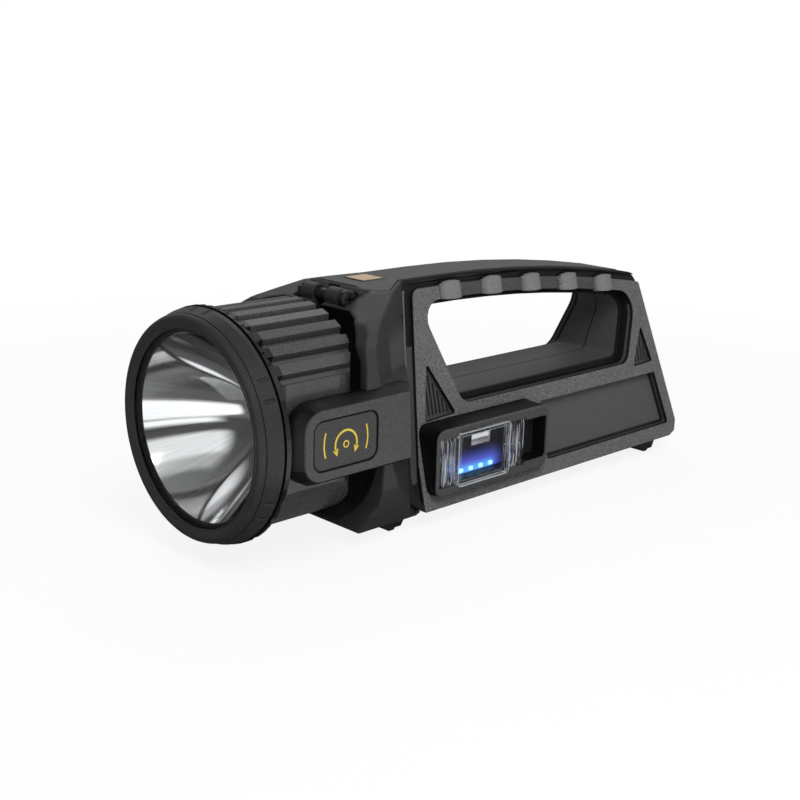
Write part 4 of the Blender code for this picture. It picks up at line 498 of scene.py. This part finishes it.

# POWER BUTTON
# Square cap of peach-coloured plastic, coloured dark in a band round its edge, in a dark well of the deck. It
# slides on the well's walls and rests on a small switch.
amber, plug, place = finish("peach_plastic", subsurface_weight=0.1)
low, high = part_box("power_button")
half_long, half_wide, rim_start, rim_full = (high.x - low.x) / 2, (high.y - low.y) / 2, 0.74, 0.80
x, y, z = parts_of(place)
speckle = noise(place, 700.0, 4.0)
off_middle = (abs(x - (low.x + high.x) / 2) / half_long).most(abs(y) / half_wide)
peach = speckle.between((0.47, 0.31, 0.19), (0.57, 0.41, 0.28))
plug("Base Color", off_middle.step(rim_start, rim_full).between(peach, (0.030, 0.028, 0.026)))
plug("Roughness", speckle * 0.2 + 0.3)
plug("Normal", rounded_edges(place, 0.0005))
give(amber, "power_button")

# HOUSINGS
# Two halves of the body in grainy dark-grey plastic, screwed together from the far side. The sunk
# band, the walls round the hand opening, the louvres and the panel's walls are smooth and painted near black
# as shade. The land between the finger bumps is painted darker as shade, and their crowns lighter as a
# highlight.

# The body's outline from the head's middle: its leaning side, its top, which falls in an arc towards
# the tail, its leaning back and its floor. Then the limits of each place that is painted with shade or a
# highlight, or plain.
body_side, side_lean, top_height, bottom_drop = 0.0259, 0.245, 0.0526, 0.0490
crown_start, crown_radius, back_corner, back_lean = 0.1316, 0.8225, 0.2885, 0.246
front_strip, band_top, edge_low, edge_high = 0.1012, 0.0049, 0.0008, 0.0012
bumps_height, bumps_front, bumps_back, bump_rise = 0.0114, 0.1290, 0.2560, 0.0022
panel_low, panel_high, panel_front, panel_end, panel_setback = -0.0407, -0.0153, 0.1112, 0.0093, 0.0790
louvre_top = 0.0230
# Pairs of depths under the body's side, each a little above and below the level of one sunk face.
louvre_depths, panel_depths, tunnel_depths = (0.0018, 0.0033), (0.0030, 0.0043), (0.0070, 0.0076)
seam_half = 0.0003

grey, plug, place = finish("housing_grain", ior=1.5, specular_ior_level=0.25)
x, y, z = parts_of(place)
along, up = x - HEAD_X, z - HEAD_Z
depth = body_side - up * side_lean - abs(y)
off_top = top_height - ((along - crown_start).most(0.0) ** 2) / (2 * crown_radius) - up
off_back = back_corner - up * back_lean - along
off_edge = off_top.least(off_back).least(up + bottom_drop)
band = (off_top < band_top) * (depth > -0.0002)
sunk = depth.step(0.0002, 0.0005) * off_edge.step(edge_low, edge_high)
sunk = sunk.most(band).most(along < front_strip)
in_grip = (off_top < bumps_height) * (along > bumps_front) * (along < bumps_back)
valley = in_grip * (depth > -0.0004)
crown = in_grip * (0 - depth).step(0.0006, bump_rise)
tunnel = depth.step(*tunnel_depths) * (abs(y) > seam_half)
panel = (depth > panel_depths[0]) * (depth < panel_depths[1]) * (up < panel_high) * (up > panel_low)
panel = panel * (off_back > panel_end) * (along - (y < 0) * panel_setback > panel_front)
ledge = (depth > louvre_depths[0]) * (depth < louvre_depths[1]) * (up < louvre_top)

bent, speckle = grain(place, scale=1500.0, height=0.00016, edge=0.0006)
fine = (speckle * 0.6 + noise(place, 3200.0) * 0.4).step(0.38, 0.64)
patch = noise(place, 35.0, 3.0).step(0.3, 0.8)
grain_grey_with_painted_light = fine.between((0.046, 0.046, 0.045), (0.205, 0.204, 0.201))
grain_grey_with_painted_light = (patch * 0.4).between(grain_grey_with_painted_light, (0.105, 0.105, 0.103))
# Painted shade: the land between the finger bumps is darkened.
grain_grey_with_painted_light = (valley * 0.70).between(grain_grey_with_painted_light, (0.036, 0.036, 0.036))
# Painted highlight: the crowns of the finger bumps are lightened.
grain_grey_with_painted_light = (crown * 0.50).between(grain_grey_with_painted_light, (0.230, 0.229, 0.225))
# Painted shade: the sunk places are near black, except the louvre ledges, the panel's floor and the hand
# opening's tunnel, which are grey.
plain = ledge.between((0.006, 0.006, 0.006), (0.050, 0.050, 0.050))
plain = panel.between(plain, (speckle * 0.06 + 0.045).between((0, 0, 0), (1, 1, 1)))
plain = tunnel.between(plain, (0.055, 0.055, 0.055))
plug("Base Color", sunk.between(grain_grey_with_painted_light, plain))
plug("Roughness", (1 - sunk) * (speckle * 0.3 + 0.42) + sunk * 0.5)
smooth_normal = rounded_edges(place, 0.0005)
plug("Normal", sunk.node("Mix", {"data_type": "VECTOR"}, {0: sunk, 4: bent, 5: smooth_normal}, out=1))
give(grey, "left_housing", "right_housing")

# PORT FRAME, PANEL AND SOCKETS
# Raised frame on the near side, in smoother black, with a panel of two sockets and four lights on a
# board inside it.
LIGHT_X, LIGHT_Z, LIGHT_PITCH, LIGHT_COUNT = -0.0222, 0.0219, 0.0067, 4
frame_edge, frame_face = 0.0404, 0.0410
row_half, halo_reach, core_reach = 0.0100, 0.0130, 0.0040


def frame_painted_shade(x, y, z):
    """The frame is painted black below the edge of its outer face, as shade on its walls."""
    return 1 - abs(y).step(frame_edge, frame_face)


# The frame's walls are painted black as shade.
give(smooth_plastic("frame_black", shade=0.060, dull=0.45, height=0.00008, edge=0.0005, shine=0.3,
                    dark_where=frame_painted_shade), "port_frame")

panel_black_painted_glow, plug, place = finish("panel_black_painted_glow", emission_strength=1.0)
x, y, z = parts_of(place)
bent, speckle = grain(place, scale=1200.0, height=0.00005)
plug("Base Color", speckle.between((0.008, 0.008, 0.009), (0.018, 0.018, 0.020)))
plug("Roughness", speckle * 0.1 + 0.3)
plug("Normal", bent)
# Painted light: the panel glows blue round the row of lights, as if they lit it.
row_middle = LIGHT_X + LIGHT_PITCH * (LIGHT_COUNT - 1) / 2
past_row = abs(x - row_middle) - row_half
away = (past_row.most(0.0) ** 2 + (z - LIGHT_Z) ** 2) ** 0.5
halo = 1 - away.step(0.0, halo_reach)
core = 1 - away.step(0.0, core_reach)
spill = core.between((0.12, 0.15, 0.85), (0.12, 0.45, 1.0))
plug("Emission Color", (halo * halo).between((0, 0, 0), spill))
give(panel_black_painted_glow, "port_panel")

blue, plug, place = finish("light_blue", base_color=(0.2, 0.6, 1.0), emission_strength=1.6)
speckle = noise(place, 900.0)
x, y, z = parts_of(place)
from_first = x - LIGHT_X + LIGHT_PITCH / 2
nearest = abs(from_first.sum_of("MODULO", from_first, LIGHT_PITCH) - LIGHT_PITCH / 2)
spot = 1 - ((nearest * nearest + (z - LIGHT_Z) * (z - LIGHT_Z)) ** 0.5).step(0.0004, 0.0019)
bright = speckle.between((0.35, 0.90, 1.0), (0.50, 1.0, 1.0))
plug("Emission Color", spot.between((0.05, 0.28, 0.95), bright))
plug("Roughness", speckle * 0.1 + 0.2)
give(blue, *["battery_light_%d" % number for number in range(1, LIGHT_COUNT + 1)])

give(metal("plated_steel", (0.72, 0.72, 0.73), dull=0.28), "usb_socket", "charge_socket")
# Painted light: the white tongue glows faintly, so it looks brighter than the lamps make it.
white, plug, place = finish("white_plastic", emission_strength=0.4)
speckle = noise(place, 700.0)
plug("Base Color", speckle.between((0.78, 0.78, 0.78), (0.90, 0.90, 0.89)))
plug("Emission Color", speckle.between((0.85, 0.85, 0.88), (0.95, 0.95, 0.96)))
plug("Roughness", speckle * 0.1 + 0.3)
give(white, "usb_tongue")
board, plug, place = finish("board_green")
tracks = noise(place, 260.0, 1.0)
plug("Base Color", tracks.step(0.48, 0.52).between((0.006, 0.065, 0.028), (0.012, 0.11, 0.05)))
plug("Roughness", tracks * 0.1 + 0.35)
give(board, "port_board", "driver_board", "switch_board")

# PORT FLAP
# Clear moulded cover that swings on two nubs at its front end: ribbed wings with a raised hollow
# window between them, which shows the lights and the socket. Its edges and flutes carry a painted highlight,
# milky white where they would catch the light.
window_left, window_right, window_low, window_high = -0.0325, 0.0030, 0.0177, 0.0434
edge_in, inner_in = 0.0004, 0.0018
flap_clear, plug, place = finish("flap_clear", **see_through, base_color=(0.93, 0.94, 0.96))
haze = noise(place, 350.0, 4.0)
plug("Roughness", haze.step(0.4, 0.8) * 0.10 + 0.03)
plug("Normal", rounded_edges(place, 0.0004))
x, y, z = parts_of(place)
inward = (x - window_left).least(window_right - x).least(z - window_low).least(window_high - z)
# Painted highlight: milky white lines along the window's edge and inner step, and milky stripes down the
# wings' flutes.
edge_line = 1 - abs(inward - edge_in).step(0.0002, 0.0005)
inner_line = (1 - abs(inward - inner_in).step(0.0001, 0.0004)) * 0.5
fluting = noise(place.node("Mapping", {}, {"Vector": place, "Scale": (1.0, 0.0, 0.06)}), 900.0)
wing = (inward < -0.0002) * fluting.step(0.52, 0.66)
clear = Wire(place.tree, place.tree.nodes["Principled BSDF"].outputs[0])
highlight_white = place.node("BsdfDiffuse", {}, {"Color": (0.55, 0.57, 0.60, 1.0)})
painted_highlight_share = (edge_line * 0.55).most(inner_line * 0.6).most(wing * 0.8)
blend = place.node("MixShader", {}, {0: painted_highlight_share, 1: clear, 2: highlight_white})
place.tree.links.new(blend.socket, place.tree.nodes["Material Output"].inputs[0])
give(flap_clear, "port_flap")

# BATTERY
# Four cells in shrunk-on sleeves, held by two moulded end plates on a middle bar, which stand on the
# floor of the body.
sleeve, plug, place = finish("cell_sleeve")
print_grain = noise(place, 120.0)
plug("Base Color", print_grain.between((0.03, 0.09, 0.28), (0.05, 0.14, 0.38)))
plug("Roughness", print_grain * 0.1 + 0.25)
give(sleeve, *["battery_cell_%d" % number for number in range(1, 5)])
give(smooth_plastic("holder_black", shade=0.02, dull=0.5), "battery_holder")

# FEET
# Two wedge-shaped bars of black rubber across the underside, each moulded with a flat tread and a low
# ledge behind it, and pressed onto the body.
give(rubber, "front_foot", "rear_foot")

# STUDIO
# Pale floor and two large soft lamps, one above in front and a weak one behind. The bowl mirrors a
# banded room and a floor with a bright ring. The camera, which sees both as white, stands where the
# picture was taken from.


def emptied(holder):
    """A material's or world's tree with nothing in it, as a wire to start from."""
    holder.use_nodes = True
    holder.node_tree.nodes.clear()
    return Wire(holder.node_tree)


def lead_out(wire, kind):
    """Lead a shader to the tree's output."""
    end = wire.tree.nodes.new(kind)
    wire.tree.links.new(wire.socket, end.inputs[0])


def light_paths(root):
    """Whether a ray comes from the camera, and whether it comes off or through something glossy."""
    camera_ray, glossy_ray, through_ray = [root.node("LightPath", out=index) for index in (0, 3, 6)]
    return camera_ray, glossy_ray.most(through_ray)


half = 6.0
corners = [(-half, -half, 0), (half, -half, 0), (half, half, 0), (-half, half, 0)]
sheet = bpy.data.meshes.new("floor")
sheet.from_pydata(corners, [], [(0, 1, 2, 3)])
floor = bpy.data.objects.new("floor", sheet)
bpy.context.scene.collection.objects.link(floor)

# The floor as glossy things see it, by the distance from the head: a faint light from under the head,
# then a bright ring, mostly on the lamp's side, which fades far away.
under_head, ring_start, ring_fade, lamp_side = (0.024, 0.050), (0.082, 0.115), (0.8, 1.6), (-0.342, -0.940)
pale = bpy.data.materials.new("pale_floor")
root = emptied(pale)
x, y, z = parts_of(root.node("TexCoord", out=3))
from_head = x - HEAD_X
reach = (x * x + y * y) ** 0.5
head_reach = (from_head * from_head + y * y) ** 0.5
camera_ray, seen_in = light_paths(root)
toward_lamp = (from_head * lamp_side[0] + y * lamp_side[1]) / head_reach.most(0.001)
far = head_reach.step(0.2, 0.8)
sunlit = toward_lamp.step(far * 0.40 + 0.15, far * 0.48 + 0.40)
lit = head_reach.step(*ring_start) * (1 - head_reach.step(*ring_fade) * 0.6) * (sunlit * 0.92 + 0.08)
lit = lit.most(head_reach.step(*under_head) * 0.055)
surface = root.node("BsdfDiffuse", {}, {"Color": (0.86, 0.86, 0.86, 1.0)})
glow = root.node("Emission", {}, {"Color": (1.0, 1.0, 1.0, 1.0), "Strength": 1.0})
mirrored = root.node("Emission", {}, {"Color": lit.between((0.030,) * 3, (1.0,) * 3), "Strength": 1.25})
share = camera_ray * (reach.step(0.25, 0.60) * 0.12 + 0.88)
shown = root.node("MixShader", {}, {0: share, 1: surface, 2: glow})
lead_out(root.node("MixShader", {}, {0: seen_in, 1: shown, 2: mirrored}), "ShaderNodeOutputMaterial")
sheet.materials.append(pale)

# Greys of the room by height, from the horizon up. Height is the sine of the angle above the floor.
room_greys = [(0.0, 1.0), (0.07, 1.0), (0.13, 0.05), (0.29, 0.06), (0.37, 0.75), (0.68, 0.75), (0.74, 0.40),
              (0.83, 0.36), (0.87, 0.07), (1.0, 0.06)]
room = bpy.data.worlds.new("studio")
bpy.context.scene.world = room
root = emptied(room)
x, y, z = parts_of(root.node("TexCoord", out=0))
camera_ray, seen_in = light_paths(root)
flat_reach = (x * x + y * y) ** 0.5
toward_lamp = (x * 0.174 + y * -0.985) / flat_reach.most(0.001)
behind = (x + y).step(0.2, 0.9) * (1 - z.step(0.30, 0.45))
crest = (x * 0.906 + y * 0.423).step(0.30, 0.55) * z.step(0.42, 0.55) * (1 - z.step(0.80, 0.90))
faint = behind * 0.22 + crest * 0.9 + 0.05
dim = root.node("VectorMath", {"operation": "SCALE"}, {0: (1.0, 1.0, 1.0), 3: faint})
bands = z.node("ValToRGB", {"stops": [(height, (shade,) * 3) for height, shade in room_greys]}, {0: z})
bands = toward_lamp.step(0.17 - z * 0.95, 0.53 - z * 0.7).between(dim, bands)
plain_room = camera_ray.between((0.36, 0.36, 0.365), (1.0, 1.0, 1.0))
shade = seen_in.between(plain_room, bands)
light = root.node("Background", {}, {"Color": shade, "Strength": seen_in * 0.25 + 1.0})
lead_out(light, "ShaderNodeOutputWorld")


def softbox(name, place, power):
    """A square lamp of half a metre that faces the searchlight. Nothing glossy shows it."""
    lamp = bpy.data.lights.new(name, "AREA")
    lamp.size = 0.5
    lamp.energy = power
    made = bpy.data.objects.new(name, lamp)
    bpy.context.scene.collection.objects.link(made)
    made.location = place
    toward = Vector((0, 0, 0.05)) - Vector(place)
    made.rotation_euler = toward.to_track_quat("-Z", "Y").to_euler()
    made.visible_camera = False
    made.visible_glossy = False


softbox("key_lamp", (-0.30, -0.55, 0.75), 6.5)
softbox("back_lamp", (0.35, 0.60, 0.70), 2.0)

eye = bpy.data.cameras.new("eye")
eye.sensor_width = 36.0
eye.lens = 58.55
eye.clip_start = 0.01
camera = bpy.data.objects.new("eye", eye)
bpy.context.scene.collection.objects.link(camera)
bpy.context.scene.camera = camera
eye_place = (-0.4432, -0.4190, 0.2110)
around, above, roll = math.radians(-44.705), math.radians(15.33), math.radians(1.607)
backward = Vector((math.sin(around) * math.cos(above), -math.cos(around) * math.cos(above), math.sin(above)))
rightward = Vector((math.cos(around), math.sin(around), 0))
stand = Matrix((rightward, backward.cross(rightward), backward)).transposed() @ Matrix.Rotation(roll, 3, "Z")
camera.matrix_world = Matrix.Translation(eye_place) @ stand.to_4x4()
bpy.context.scene.view_settings.view_transform = "Standard"
